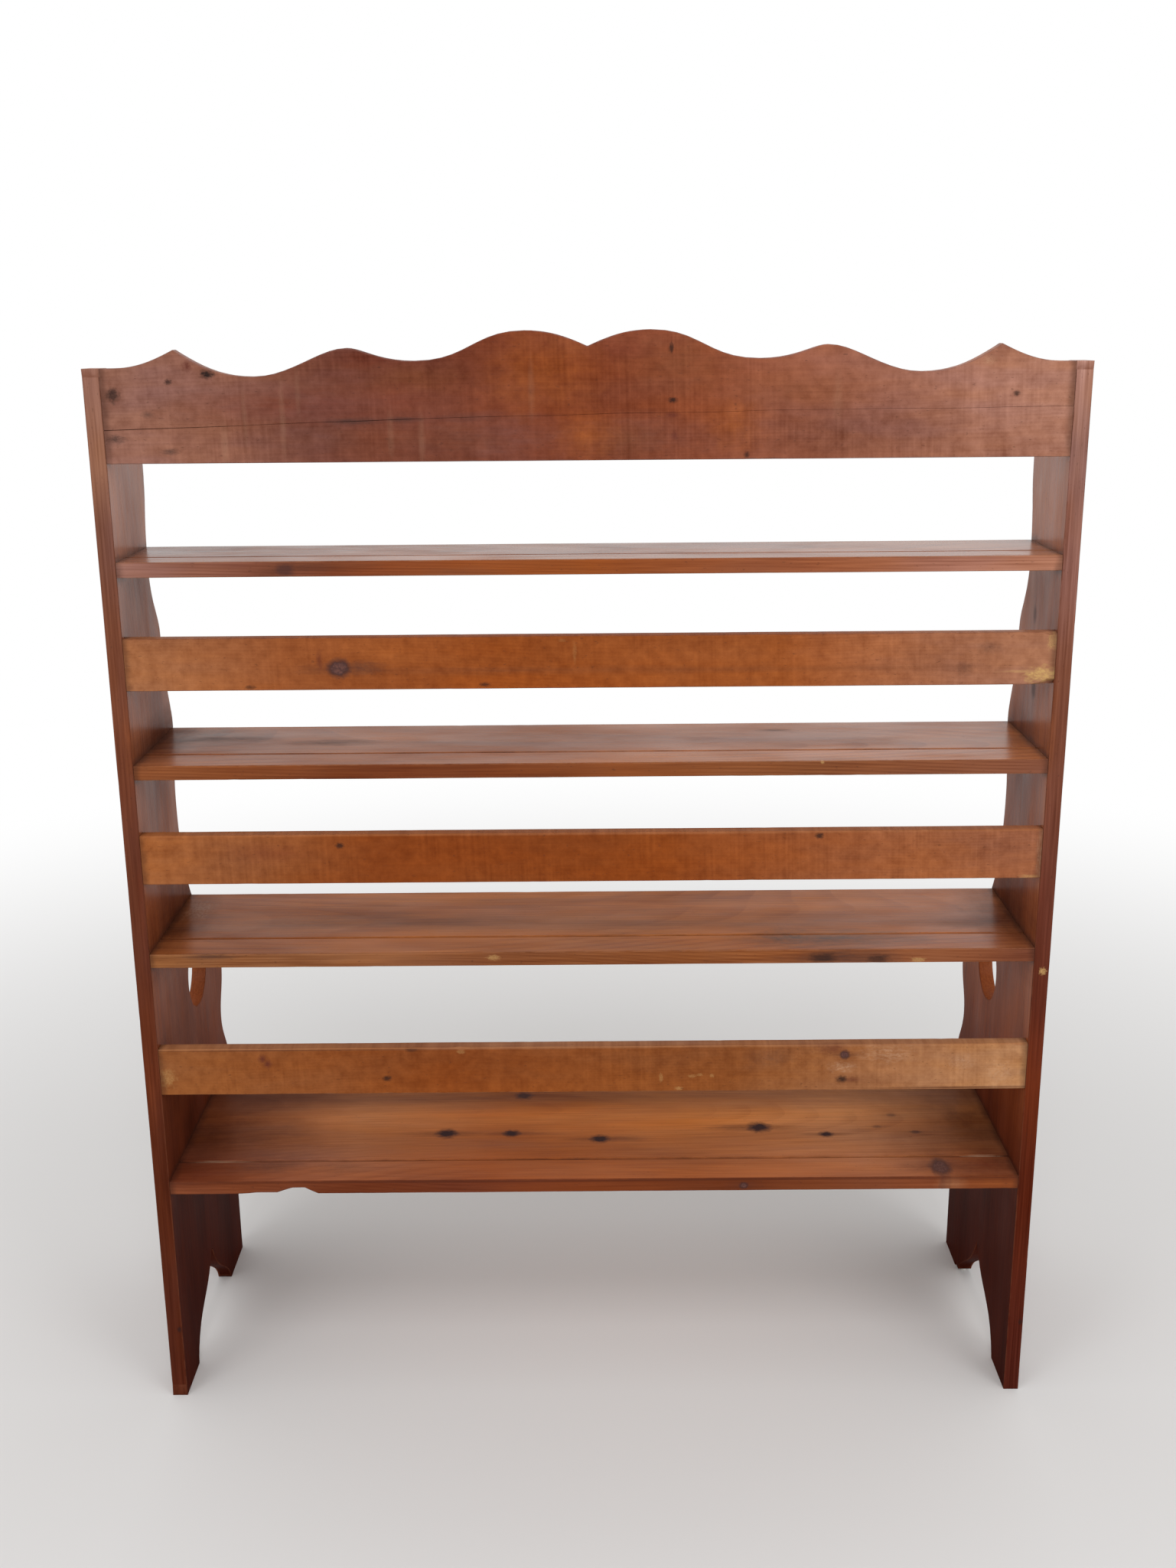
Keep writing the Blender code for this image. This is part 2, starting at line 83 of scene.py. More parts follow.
# Cleaning and cutting the copy of a board
MERGE_DISTANCE = 0.00002
FLAT_ANGLE = math.radians(0.5)
SMOOTH_ANGLE = math.radians(35)
STRIP_LENGTH = 0.040
MIN_STRIP = 0.004
HOUSING_WALL_AREA = 0.0001

# When a face counts as square on to an axis, as edge on to it or as deep as its board
SQUARE_ON = 0.99
EDGE_ON = 0.1
FULL_DEPTH = 0.9

# The arrises: which edges they are, how they are eased and how unevenly they are worn
CORNER_ANGLE = math.radians(40)
JOINT_SKIP = 0.001
ARRIS = 0.0016
ARRIS_STEPS = 3
ARRIS_SPACING = 0.010
ARRIS_MERGE = 0.0045
ARRIS_REACH = 2.0 * ARRIS
ARRIS_INSET = 0.05 * ARRIS
STRAIGHT_RUN = -0.7
MIN_CHORD = 0.001
MAX_CHORD = 3 * ARRIS_SPACING
WEAR_MIDDLE = 0.85
WEAR_SWING = 0.40
WEAR_SCALE = 14.0
DENT_GROWTH = 1.3
DENT_SCALE = 60.0
DENT_FROM = 0.30

# The chips: how far from an arris they count, and how steep, ragged and hollow they are
CHIP_ASIDE = 0.004
CHIP_STEEPNESS = 1.8
CHIP_RAGGED = 0.25
CHIP_RAGGED_SCALE = 160.0
CHIP_HOLLOW = 0.6

# The crest's drying check: a line that bows up along the near face and narrows towards the right
CHECK_LEFT_HEIGHT = 1.4197
CHECK_RIGHT_HEIGHT = 1.4400
CHECK_BOW = 0.0055
CHECK_WANDER = 0.0012
CHECK_WANDER_SCALE = 9.0
CHECK_WANDER_ROW = 0.4
CHECK_HALF_WIDTH = 0.0005
CHECK_BAND = 1.2 * CHECK_HALF_WIDTH
CHECK_MIDDLE = 0.5 * CHECK_HALF_WIDTH
CHECK_DEPTH = 0.0012
CHECK_OPENING = 0.75
CHECK_OPENING_SWING = 0.5
CHECK_OPENING_SCALE = 6.0
CHECK_OPENING_ROW = 2.7
CHECK_FADE_START = -0.25
CHECK_FADE = 1.4
CHECK_FAINTEST = 0.6

# How deep a mark on a face reaches into its board, a knot, and a knot that only shows on an edge
SKIN = 0.006
KNOT_DEPTH = 0.060
EDGE_KNOT_DEPTH = 2 * SKIN

# The middle of a rail's thickness, and how far a mark along the rail's top reaches across and down
RAIL_MIDDLE_Y = sum(corner.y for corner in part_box("upper_plate_rail")) / 2
RAIL_TOP_DEPTH = 0.030
RAIL_TOP_SKIN = 0.0020

# A ring knot's paler middle, and how far the dark tails run out of any knot
KNOT_MIDDLE = (0.140, 0.062, 0.050)
TAIL_LENGTH = 2.8
TAIL_HEIGHT = 0.45
TAIL_STRENGTH = 0.65

# The growth rings of the pine: their width, and how deep below a face their heart lies and leans
RING_WIDTH = 0.0048
HEART_DEPTH = 0.085
HEART_LEAN = 0.03

# The stain's cooler and warmer patches, and how deep the own tones of a near edge or an outer face go,
# which on the sides hold painted shade
COOL_STAIN = (0.97, 1.00, 1.08)
WARM_STAIN = (1.04, 0.99, 0.86)
COOL_BELOW = 0.34
WARM_ABOVE = 0.66
EDGE_TONE_START = 0.003
EDGE_TONE_FULL = 0.0005
OUTER_TONE_START = 0.004
OUTER_TONE_FULL = 0.001

# How much each part of the figure deepens or brightens the stain
CLOUD_FIGURE = 0.42
PLANED_FIBRE = 0.30
SAWN_FIBRE = 0.14
SAW_LINES = 0.28
SAW_BANDS = 0.34
SAW_MOTTLE = 0.55
FIGURE_MIDDLE = 0.52
DEEP_FIGURE = (0.60, 0.50, 0.46)
BRIGHT_FIGURE = (1.34, 1.46, 1.55)

# Dirt in a plate groove: how far it wanders, and how wide its patches and its even part are
GROOVE_DIRT = (0.060, 0.018, 0.010)
GROOVE_WANDER = 0.0022
GROOVE_WANDER_SCALE = 28.0
GROOVE_PATCHES = 0.9
GROOVE_PATCHES_START = 0.0042
GROOVE_PATCHES_FULL = 0.0012
GROOVE_EVEN_START = 0.0040
GROOVE_EVEN_FULL = 0.0014

# Dirt in the check, dirt and painted shade along the joints, fine specks, and how far each of them and the
# wear covers the stain
CHECK_DIRT = (0.045, 0.014, 0.010)
CHECK_COVER = 0.9
JOINT_DIRT_AND_SHADE = (0.050, 0.017, 0.011)
JOINT_COVER = 0.55
JOINT_DIRT_AND_SHADE_WIDTH = 0.012
SPECK_DIRT = (0.055, 0.022, 0.016)
SPECK_COVER = 0.35
ARRIS_COVER = 0.65

# How much faster the distance from a joint grows behind a side's inner face
OUTSIDE_GROWTH = 20.0

# The old varnish, what thins it, and the wood under it
VARNISH_IOR = 1.3
VARNISH_ROUGHNESS = 0.25
SCUFF_THINNING = 0.9
FIBRE_THINNING = 0.5
WEAR_THINNING = 0.5
MARK_THINNING = 0.85
EDGE_THINNING = 0.7
SCUFF_STRETCH = 0.35
WOOD_SPECULAR = 0.008
WOOD_ROUGHNESS = 0.50
SCUFF_ROUGHNESS = 0.15

# The raised grain
FIBRE_RELIEF = 0.35
RING_RELIEF = 0.25
SAW_RELIEF = 0.9
GRAIN_STRENGTH = 0.35
GRAIN_HEIGHT = 0.0006

# The nails' old cut iron, and what rust and pits do to it
IRON_GREY = (0.040, 0.034, 0.031)
IRON_RUST = (0.105, 0.040, 0.020)
IRON_PIT = (0.015, 0.012, 0.011)
IRON_SHINE = 0.85
RUST_DULLING = 0.7
IRON_ROUGHNESS = 0.45
RUST_ROUGHNESS = 0.30
PIT_COVER = 0.3

# The glide's white plastic, and the soil on it near the floor
PLASTIC_WHITE = (0.80, 0.79, 0.75)
PLASTIC_SOIL = (0.34, 0.30, 0.26)
PLASTIC_ROUGHNESS = 0.32
PLASTIC_GRAIN = 0.20
SOIL_HEIGHT = 0.0055
SOIL_COVER = 0.6


@dataclass
class MarkKind:
    """One sort of mark: its colour, how ragged its outline is, how soft it is and how broken."""

    colour: tuple
    ragged: float
    softness: float
    broken: float


# Uneven stain, and painted shade, reflection and highlight, which the figure of the wood shows through
STAIN_AND_PAINTED_LIGHT_KINDS = {
    "mauve": MarkKind((0.165, 0.068, 0.053), 1.1, 1.2, 0.2),
    "umber": MarkKind((0.180, 0.060, 0.026), 1.1, 1.2, 0.2),
    "russet": MarkKind((0.175, 0.036, 0.016), 1.1, 1.2, 0.2),
    "amber": MarkKind((0.340, 0.092, 0.020), 1.1, 1.2, 0.2),
    "slate": MarkKind((0.105, 0.062, 0.050), 1.1, 0.9, 0.3),
    # Painted shade, for the corners where boards meet and the ends of the shelves
    "painted_shade": MarkKind((0.070, 0.018, 0.010), 0.7, 1.4, 0.1),
    "tan": MarkKind((0.400, 0.180, 0.085), 0.6, 1.0, 0.2),
}

# What lies on the wood or bares it, dark lines along arrises, and a few painted highlights
MARK_KINDS = {
    "tail": MarkKind((0.105, 0.036, 0.022), 0.9, 1.0, 0.3),
    "knot": MarkKind((0.050, 0.026, 0.026), 0.6, 0.45, 0.0),
    "ring_knot": MarkKind((0.050, 0.026, 0.026), 0.4, 0.35, 0.0),
    "smudge": MarkKind((0.060, 0.034, 0.030), 0.9, 0.75, 0.3),
    "rust": MarkKind((0.110, 0.026, 0.018), 0.9, 0.7, 0.2),
    "ink": MarkKind((0.022, 0.014, 0.013), 0.9, 0.5, 0.1),
    "dark_line": MarkKind((0.075, 0.020, 0.011), 0.9, 0.7, 0.15),
    "pale": MarkKind((0.500, 0.300, 0.190), 0.6, 0.6, 0.2),
    "rubbed": MarkKind((0.520, 0.310, 0.190), 1.3, 0.7, 0.8),
    "raw": MarkKind((0.560, 0.340, 0.130), 1.2, 0.35, 0.5),
}

# The kinds that dull the varnish over them
DULL_KINDS = ("painted_shade", "tail", "knot", "ring_knot", "smudge", "ink")


@dataclass
class Mark:
    """One mark: its kind, its middle, how far it reaches each way and how strong it is."""

    kind: str
    place: tuple
    reach: tuple
    strength: float


def near_knot(kind, x, z, radius, stretch, strength=1.0, depth=KNOT_DEPTH):
    """A knot on a near face, through its board unless it is less deep."""
    return Mark(kind, (x, NEAR_Y, z), (radius * stretch, depth, radius), strength)


def bottom_shelf_knot(x, y, radius, stretch, strength=1.0, kind="knot"):
    """A knot that goes down through the bottom shelf."""
    return Mark(kind, (x, y, BOTTOM_SHELF_TOP), (radius * stretch, radius, KNOT_DEPTH), strength)


def right_side_knot(y, z, radius, stretch, strength):
    """A knot that goes through the right side."""
    return Mark("knot", (INNER_X, y, z), (KNOT_DEPTH, radius, radius * stretch), strength)


@dataclass
class Chip:
    """A broken place on an arris: its middle, half its length, how far it grows each way and its lean."""

    place: tuple
    reach: float
    growth: tuple
    lean: float = 0.0


# The axes along, across and through each sort of board
BOARD_AXES = {
    "side_pine": (Z, Y, X),
    "shelf_pine": (X, Y, Z),
    "crest_pine": (X, Z, Y),
    "rail_pine": (X, Z, Y),
}


@dataclass
class PineBoard:
    """One board: its stain and varnish, the figure of its wood, and the wear and marks that only it has.

    Tones are stops of a place along the board and a colour there, depth tones of a place across a shelf
    and a tint, which on the bottom shelf paints light and shade across it, and varnish of a place and a
    weight.
    A groove is given by its distance from the near edge.

    Marks are rows for each kind. The near face has rows of x, z, half length, half height and strength,
    a shelf's top x, y, half length, half depth and strength, a side's inner face y, z, half depth, half
    height and strength, and a rail's top x, z, half length and strength.
    """

    node: str
    slot: str
    seed: float
    tones: tuple
    varnish: tuple
    edge_tones: tuple = ()
    outer_tones: tuple = ()
    depth_tones: tuple = ()
    figure: float = 1.0
    rings: float = 0.06
    saw: float = 0.0
    arris_tone: tuple = (0.30, 0.12, 0.055)
    groove: float = None
    groove_dirt: float = 0.62
    chips: tuple = ()
    knots: tuple = ()
    near: dict = field(default_factory=dict)
    top: dict = field(default_factory=dict)
    inner: dict = field(default_factory=dict)
    rail_top: dict = field(default_factory=dict)

    @property
    def axes(self):
        return BOARD_AXES[self.slot]


# The sides' stain and painted shade by height, inside, on the outer faces and on the near edges, and their
# varnish
# Inside, the near-black below the bottom shelf is painted shade; on every face the darkening towards the
# floor is partly painted shade
SIDE_STAIN_AND_SHADE = (
    (0.00, (0.048, 0.006, 0.002)), (0.30, (0.070, 0.011, 0.004)), (0.38, (0.160, 0.032, 0.011)),
    (0.75, (0.330, 0.093, 0.028)), (1.15, (0.285, 0.100, 0.050)), (1.50, (0.330, 0.125, 0.068)),
)
SIDE_OUTER_STAIN_AND_SHADE = (
    (0.00, (0.150, 0.034, 0.013)), (0.40, (0.200, 0.050, 0.018)), (0.75, (0.290, 0.082, 0.026)),
    (1.15, (0.285, 0.100, 0.050)), (1.50, (0.330, 0.125, 0.068)),
)
# Near edges darker towards the floor, partly as painted shade
LEFT_EDGE_STAIN_AND_SHADE = (
    (0.00, (0.075, 0.016, 0.008)), (0.36, (0.104, 0.024, 0.010)), (0.50, (0.140, 0.032, 0.012)),
    (0.72, (0.107, 0.029, 0.015)), (0.95, (0.142, 0.042, 0.023)), (1.10, (0.195, 0.066, 0.036)),
    (1.30, (0.182, 0.074, 0.050)), (1.37, (0.270, 0.122, 0.078)), (1.50, (0.270, 0.118, 0.076)),
)
RIGHT_EDGE_STAIN_AND_SHADE = (
    (0.00, (0.105, 0.021, 0.012)), (0.36, (0.104, 0.017, 0.006)), (0.50, (0.132, 0.023, 0.007)),
    (0.62, (0.112, 0.023, 0.011)), (0.78, (0.142, 0.037, 0.020)), (1.10, (0.213, 0.073, 0.038)),
    (1.22, (0.310, 0.135, 0.095)), (1.39, (0.250, 0.118, 0.092)), (1.50, (0.450, 0.220, 0.155)),
)
SIDE_VARNISH = (
    (0.00, 0.00), (0.36, 0.09), (0.60, 0.22), (0.95, 0.38), (1.20, 0.48), (1.35, 0.64), (1.50, 0.65),
)


def side_board(node, seed, edge_tones, **own):
    """A side. Both are stained alike, with the same painted shade towards the floor, and varnished and
    worn alike, apart from their near edges and marks.
    """
    return PineBoard(
        node,
        "side_pine",
        seed,
        SIDE_STAIN_AND_SHADE,
        SIDE_VARNISH,
        edge_tones,
        SIDE_OUTER_STAIN_AND_SHADE,
        figure=2.4,
        rings=0.10,
        arris_tone=(0.15, 0.047, 0.024),
        **own,
    )


# Every board with its own stain, varnish, wear and marks
BOARDS = (
    side_board(
        "left_side",
        seed=1.3,
        edge_tones=LEFT_EDGE_STAIN_AND_SHADE,
        near={"ink": [(-0.617, 0.113, 0.003, 0.004, 0.7)]},
        inner={
            # Russet and amber just above the shelves: painted reflection of the shelves' orange
            "russet": [(-0.130, 0.765, 0.080, 0.050, 0.55)],
            "amber": [(-0.140, 1.015, 0.070, 0.035, 0.40)],
            # Painted shade in the corners just above the shelves
            "painted_shade": [
                (-0.055, 0.718, 0.120, 0.034, 0.95), (-0.060, 0.385, 0.120, 0.050, 0.90),
                (-0.110, 0.450, 0.140, 0.080, 0.75), (-0.070, 0.988, 0.110, 0.016, 0.85),
            ],
        },
    ),
    side_board(
        "right_side",
        seed=4.7,
        edge_tones=RIGHT_EDGE_STAIN_AND_SHADE,
        knots=(
            right_side_knot(-0.109, 1.055, 0.010, 1.3, 0.6),
            right_side_knot(-0.091, 1.156, 0.008, 1.3, 0.5),
        ),
        near={
            "ink": [(0.6315, 0.1157, 0.003, 0.004, 0.7)],
            "raw": [(0.6262, 0.6744, 0.0048, 0.0048, 0.9)],
        },
        inner={
            # Russet and amber just above the shelves: painted reflection of the shelves' orange
            "russet": [(-0.130, 0.765, 0.080, 0.050, 0.50)],
            "amber": [(-0.140, 1.015, 0.070, 0.035, 0.45), (-0.150, 1.290, 0.060, 0.030, 0.40)],
            # Painted shade in the corners just above the shelves
            "painted_shade": [
                (-0.055, 0.718, 0.120, 0.036, 0.90), (-0.060, 0.385, 0.120, 0.045, 0.60),
                (-0.070, 0.988, 0.110, 0.016, 0.50),
            ],
            "ink": [(-0.008, 0.117, 0.0012, 0.018, 0.8)],
        },
    ),
    PineBoard(
        "crest",
        "crest_pine",
        seed=2.1,
        tones=(
            (-0.61, (0.260, 0.118, 0.088)), (-0.46, (0.235, 0.094, 0.062)),
            (-0.33, (0.160, 0.052, 0.034)), (-0.05, (0.195, 0.045, 0.018)), (0.15, (0.240, 0.064, 0.028)),
            (0.40, (0.290, 0.115, 0.075)), (0.61, (0.410, 0.185, 0.118)),
        ),
        varnish=((-0.61, 0.30), (-0.30, 0.18), (0.30, 0.18), (0.61, 0.30)),
        figure=1.4,
        saw=0.8,
        # The top rim's colour: partly wear, partly a painted reflection of the sky along the top arris
        arris_tone=(0.20, 0.10, 0.085),
        near={
            "mauve": [
                (0.075, 1.408, 0.045, 0.018, 0.45), (-0.357, 1.449, 0.030, 0.018, 0.45),
                (-0.337, 1.411, 0.026, 0.012, 0.55), (-0.135, 1.404, 0.070, 0.018, 0.65),
                (0.320, 1.406, 0.070, 0.022, 0.40),
            ],
            "umber": [
                (-0.212, 1.482, 0.040, 0.011, 0.55), (0.118, 1.497, 0.040, 0.024, 0.55),
                (0.048, 1.402, 0.026, 0.014, 0.60), (0.255, 1.462, 0.050, 0.014, 0.40),
            ],
            "russet": [
                (-0.385, 1.448, 0.075, 0.013, 0.50), (0.040, 1.513, 0.024, 0.007, 0.60),
                (-0.276, 1.505, 0.026, 0.006, 0.60), (-0.240, 1.456, 0.024, 0.012, 0.45),
            ],
            "amber": [
                (-0.055, 1.488, 0.045, 0.030, 0.60), (-0.002, 1.412, 0.022, 0.020, 0.50),
                (0.186, 1.420, 0.020, 0.018, 0.50),
            ],
            "smudge": [
                (-0.296, 1.4290, 0.028, 0.0030, 0.75), (-0.236, 1.4305, 0.020, 0.0030, 0.65),
                (-0.150, 1.4325, 0.030, 0.0035, 0.35), (-0.556, 1.439, 0.006, 0.003, 0.60),
                (-0.600, 1.409, 0.011, 0.004, 0.85), (-0.531, 1.393, 0.008, 0.003, 0.80),
            ],
            "rust": [
                (-0.502, 1.498, 0.0050, 0.0055, 0.90), (0.107, 1.434, 0.0070, 0.0030, 0.75),
                (0.110, 1.408, 0.0030, 0.0050, 0.70),
            ],
            "ink": [
                (-0.598, 1.463, 0.0070, 0.0075, 0.85), (-0.527, 1.479, 0.0040, 0.0030, 0.80),
                (-0.477, 1.488, 0.0075, 0.0050, 1.00), (0.105, 1.516, 0.0026, 0.0056, 0.80),
                (0.107, 1.452, 0.0050, 0.0028, 0.90), (0.2015, 1.3835, 0.0028, 0.0036, 0.70),
                (0.540, 1.457, 0.0038, 0.0030, 0.80),
            ],
            "pale": [
                (-0.386, 1.432, 0.0030, 0.040, 0.11), (-0.434, 1.437, 0.0025, 0.030, 0.09),
                (-0.461, 1.399, 0.0040, 0.026, 0.12), (-0.365, 1.463, 0.0028, 0.024, 0.08),
                (-0.250, 1.411, 0.0036, 0.024, 0.10), (-0.211, 1.405, 0.0034, 0.028, 0.10),
                (-0.071, 1.467, 0.0034, 0.030, 0.08), (0.315, 1.453, 0.0050, 0.024, 0.10),
            ],
            "rubbed": [(0.503, 1.498, 0.007, 0.004, 0.40)],
        },
    ),
    PineBoard(
        "top_shelf",
        "shelf_pine",
        seed=3.4,
        tones=(
            (-0.61, (0.210, 0.070, 0.032)), (0.00, (0.260, 0.090, 0.036)), (0.61, (0.360, 0.145, 0.075)),
        ),
        varnish=((-0.61, 0.78), (-0.30, 0.80), (0.00, 0.93), (0.40, 1.00), (0.61, 1.00)),
        edge_tones=(
            (-0.61, (0.250, 0.110, 0.078)), (-0.33, (0.187, 0.046, 0.016)), (0.00, (0.268, 0.067, 0.014)),
            (0.30, (0.320, 0.103, 0.045)), (0.61, (0.410, 0.185, 0.125)),
        ),
        figure=2.0,
        rings=0.25,
        knots=(near_knot("knot", -0.395, 1.2415, 0.0080, 1.4, 0.60, depth=EDGE_KNOT_DEPTH),),
        near={
            "umber": [(-0.350, 1.2465, 0.045, 0.0045, 0.60), (-0.165, 1.2370, 0.030, 0.0040, 0.60)],
            "tail": [(-0.370, 1.2445, 0.028, 0.0038, 0.80), (-0.412, 1.2385, 0.020, 0.0044, 0.70)],
        },
        groove=0.048,
        groove_dirt=0.20,
    ),
    PineBoard(
        "second_shelf",
        "shelf_pine",
        seed=5.9,
        tones=(
            (-0.61, (0.300, 0.096, 0.035)), (0.20, (0.370, 0.117, 0.034)), (0.61, (0.430, 0.145, 0.048)),
        ),
        varnish=((-0.61, 0.58), (0.00, 0.64), (0.40, 0.93), (0.61, 1.00)),
        edge_tones=(
            (-0.61, (0.260, 0.083, 0.029)), (-0.25, (0.185, 0.044, 0.013)), (0.30, (0.245, 0.078, 0.025)),
            (0.61, (0.225, 0.083, 0.050)),
        ),
        figure=2.0,
        rings=0.25,
        near={"raw": [(0.3105, 0.978, 0.0022, 0.0022, 0.8)]},
        top={
            "slate": [(-0.560, -0.030, 0.055, 0.030, 0.60)],
            # Painted shade at the left end, by the side
            "painted_shade": [(-0.608, -0.060, 0.022, 0.090, 0.80)],
            "smudge": [
                (-0.525, -0.060, 0.060, 0.013, 0.70), (-0.363, -0.083, 0.045, 0.012, 0.60),
                (0.266, -0.032, 0.020, 0.006, 0.60),
            ],
        },
        groove=0.060,
    ),
    PineBoard(
        "third_shelf",
        "shelf_pine",
        seed=7.2,
        tones=(
            (-0.61, (0.345, 0.107, 0.030)), (0.10, (0.420, 0.137, 0.034)), (0.61, (0.440, 0.147, 0.051)),
        ),
        varnish=((-0.61, 0.43), (0.10, 0.33), (0.45, 0.62), (0.61, 0.90)),
        edge_tones=(
            (-0.61, (0.340, 0.142, 0.056)), (-0.20, (0.225, 0.076, 0.029)), (0.15, (0.260, 0.084, 0.027)),
            (0.48, (0.325, 0.112, 0.044)), (0.61, (0.230, 0.070, 0.032)),
        ),
        depth_tones=(
            (-0.204, (0.90, 0.88, 0.86)), (-0.120, (0.95, 0.94, 0.93)), (0.000, (1.10, 1.10, 1.10)),
        ),
        figure=2.0,
        rings=0.18,
        near={
            "smudge": [(0.345, 0.697, 0.058, 0.010, 0.75), (-0.530, 0.706, 0.030, 0.003, 0.70)],
            "ink": [(0.320, 0.697, 0.016, 0.008, 0.65), (0.397, 0.694, 0.013, 0.006, 0.65)],
            "raw": [(-0.1367, 0.701, 0.008, 0.0035, 0.55), (0.452, 0.693, 0.009, 0.003, 0.6)],
        },
        top={
            "umber": [
                (-0.400, -0.085, 0.070, 0.012, 0.65), (-0.329, -0.067, 0.060, 0.014, 0.65),
                (-0.200, -0.085, 0.090, 0.016, 0.75), (0.050, -0.100, 0.120, 0.012, 0.55),
                (0.220, -0.105, 0.050, 0.010, 0.50),
            ],
            "slate": [(0.335, -0.160, 0.085, 0.024, 0.90), (0.281, -0.157, 0.036, 0.024, 0.95)],
            # Painted shade at both ends, by the sides
            "painted_shade": [(-0.608, -0.070, 0.024, 0.100, 0.85), (0.612, -0.070, 0.032, 0.100, 0.75)],
            "smudge": [(0.540, -0.110, 0.035, 0.012, 0.35)],
            # A pale painted sheen in the left corner
            "rubbed": [(-0.584, -0.029, 0.016, 0.030, 0.30)],
        },
        groove=0.060,
        groove_dirt=0.40,
    ),
    PineBoard(
        "bottom_shelf",
        "shelf_pine",
        seed=8.8,
        tones=(
            (-0.61, (0.290, 0.076, 0.027)), (-0.36, (0.435, 0.160, 0.065)),
            (-0.15, (0.405, 0.116, 0.028)), (0.15, (0.480, 0.156, 0.041)), (0.40, (0.520, 0.204, 0.078)),
            (0.61, (0.460, 0.170, 0.064)),
        ),
        varnish=((-0.61, 0.15), (0.61, 0.21)),
        edge_tones=(
            (-0.61, (0.205, 0.056, 0.022)), (-0.20, (0.155, 0.037, 0.016)), (0.00, (0.198, 0.045, 0.013)),
            (0.22, (0.140, 0.033, 0.011)), (0.38, (0.210, 0.058, 0.022)), (0.61, (0.230, 0.057, 0.019)),
        ),
        # Darker at the front, partly dirtier stain; a painted band of light across the middle; painted
        # shadow of the shelf above towards the back
        depth_tones=(
            (-0.204, (0.79, 0.67, 0.67)), (-0.150, (0.75, 0.67, 0.67)), (-0.120, (0.83, 0.80, 0.82)),
            (-0.070, (1.06, 1.07, 1.02)), (-0.005, (1.25, 1.25, 1.00)), (0.050, (0.62, 0.64, 0.68)),
            (0.200, (0.58, 0.60, 0.66)),
        ),
        figure=1.6,
        rings=0.12,
        arris_tone=(0.10, 0.028, 0.014),
        chips=(
            Chip((-0.430, NEAR_Y, 0.337), 0.0270, (0.0, 10.5, 6.0), 0.15),
            Chip((-0.480, NEAR_Y, 0.337), 0.0340, (0.0, 2.4, 1.6), 0.5),
        ),
        knots=(
            bottom_shelf_knot(-0.2238, -0.0628, 0.0125, 1.15),
            bottom_shelf_knot(-0.1245, -0.0643, 0.0095, 1.2),
            bottom_shelf_knot(-0.1106, 0.0610, 0.0110, 1.1, 0.9),
            bottom_shelf_knot(0.0096, -0.0834, 0.0105, 1.2),
            bottom_shelf_knot(0.2539, -0.0507, 0.0135, 1.15),
            bottom_shelf_knot(0.3538, -0.0743, 0.0075, 1.3),
            bottom_shelf_knot(0.4345, -0.0512, 0.0045, 1.4, 0.45),
            bottom_shelf_knot(0.4634, -0.0141, 0.0055, 1.2, 0.40),
            bottom_shelf_knot(0.4908, -0.0692, 0.0050, 1.5, 0.65),
            bottom_shelf_knot(0.5057, -0.1768, 0.0240, 0.58, 0.85, "ring_knot"),
            near_knot("ring_knot", 0.2165, 0.345, 0.005, 1.2, 0.9, depth=EDGE_KNOT_DEPTH),
        ),
        near={
            "amber": [(0.575, 0.346, 0.040, 0.010, 0.60)],
            "tan": [(0.517, 0.345, 0.014, 0.008, 0.50)],
            # A dark line just below the top arris
            "dark_line": [(0.0, 0.3548, 0.75, 0.0013, 0.75)],
        },
        top={
            "mauve": [(-0.150, -0.100, 0.060, 0.010, 0.40), (-0.420, -0.125, 0.070, 0.020, 0.35)],
            "umber": [(0.045, -0.083, 0.024, 0.006, 0.50), (0.212, -0.051, 0.026, 0.006, 0.50)],
            "russet": [(0.575, -0.170, 0.045, 0.028, 0.80), (-0.580, -0.175, 0.040, 0.026, 0.50)],
            # Painted shade at both ends, by the sides
            "painted_shade": [(-0.608, -0.045, 0.092, 0.115, 0.95), (0.614, -0.015, 0.095, 0.140, 0.95)],
            "smudge": [(-0.475, -0.160, 0.040, 0.014, 0.45), (-0.370, -0.165, 0.030, 0.014, 0.30)],
            # Pale lines at the groove's ends: partly worn, partly a painted highlight on the groove's lit
            # edge
            "pale": [(-0.550, -0.1445, 0.040, 0.0027, 0.80), (0.5736, -0.1440, 0.024, 0.0027, 0.75)],
        },
        groove=0.060,
    ),
    PineBoard(
        "upper_plate_rail",
        "rail_pine",
        seed=6.3,
        tones=(
            (-0.61, (0.365, 0.142, 0.058)), (-0.40, (0.285, 0.078, 0.021)),
            (-0.12, (0.290, 0.069, 0.013)), (0.25, (0.310, 0.084, 0.021)), (0.40, (0.365, 0.131, 0.059)),
            (0.61, (0.330, 0.145, 0.086)),
        ),
        varnish=((-0.61, 0.12), (0.30, 0.12), (0.61, 0.22)),
        saw=0.45,
        arris_tone=(0.17, 0.055, 0.030),
        chips=(
            Chip((0.606, NEAR_Y, 1.082), 0.018, (0.0, 4.0, 4.0)),
            Chip((0.606, NEAR_Y, 1.152), 0.010, (0.0, 2.2, 2.2)),
        ),
        knots=(near_knot("ring_knot", -0.3305, 1.1113, 0.0120, 1.15, 1.0),),
        near={
            "mauve": [(0.470, 1.118, 0.045, 0.018, 0.45)],
            "umber": [(-0.100, 1.1065, 0.190, 0.0035, 0.50), (0.250, 1.1060, 0.260, 0.0026, 0.45)],
            "amber": [(-0.270, 1.128, 0.035, 0.012, 0.60)],
            "smudge": [
                (-0.297, 1.112, 0.018, 0.007, 0.45), (0.493, 1.104, 0.009, 0.007, 0.40),
                (0.5256, 1.132, 0.012, 0.006, 0.35),
            ],
            "rust": [(-0.356, 1.122, 0.003, 0.010, 0.55)],
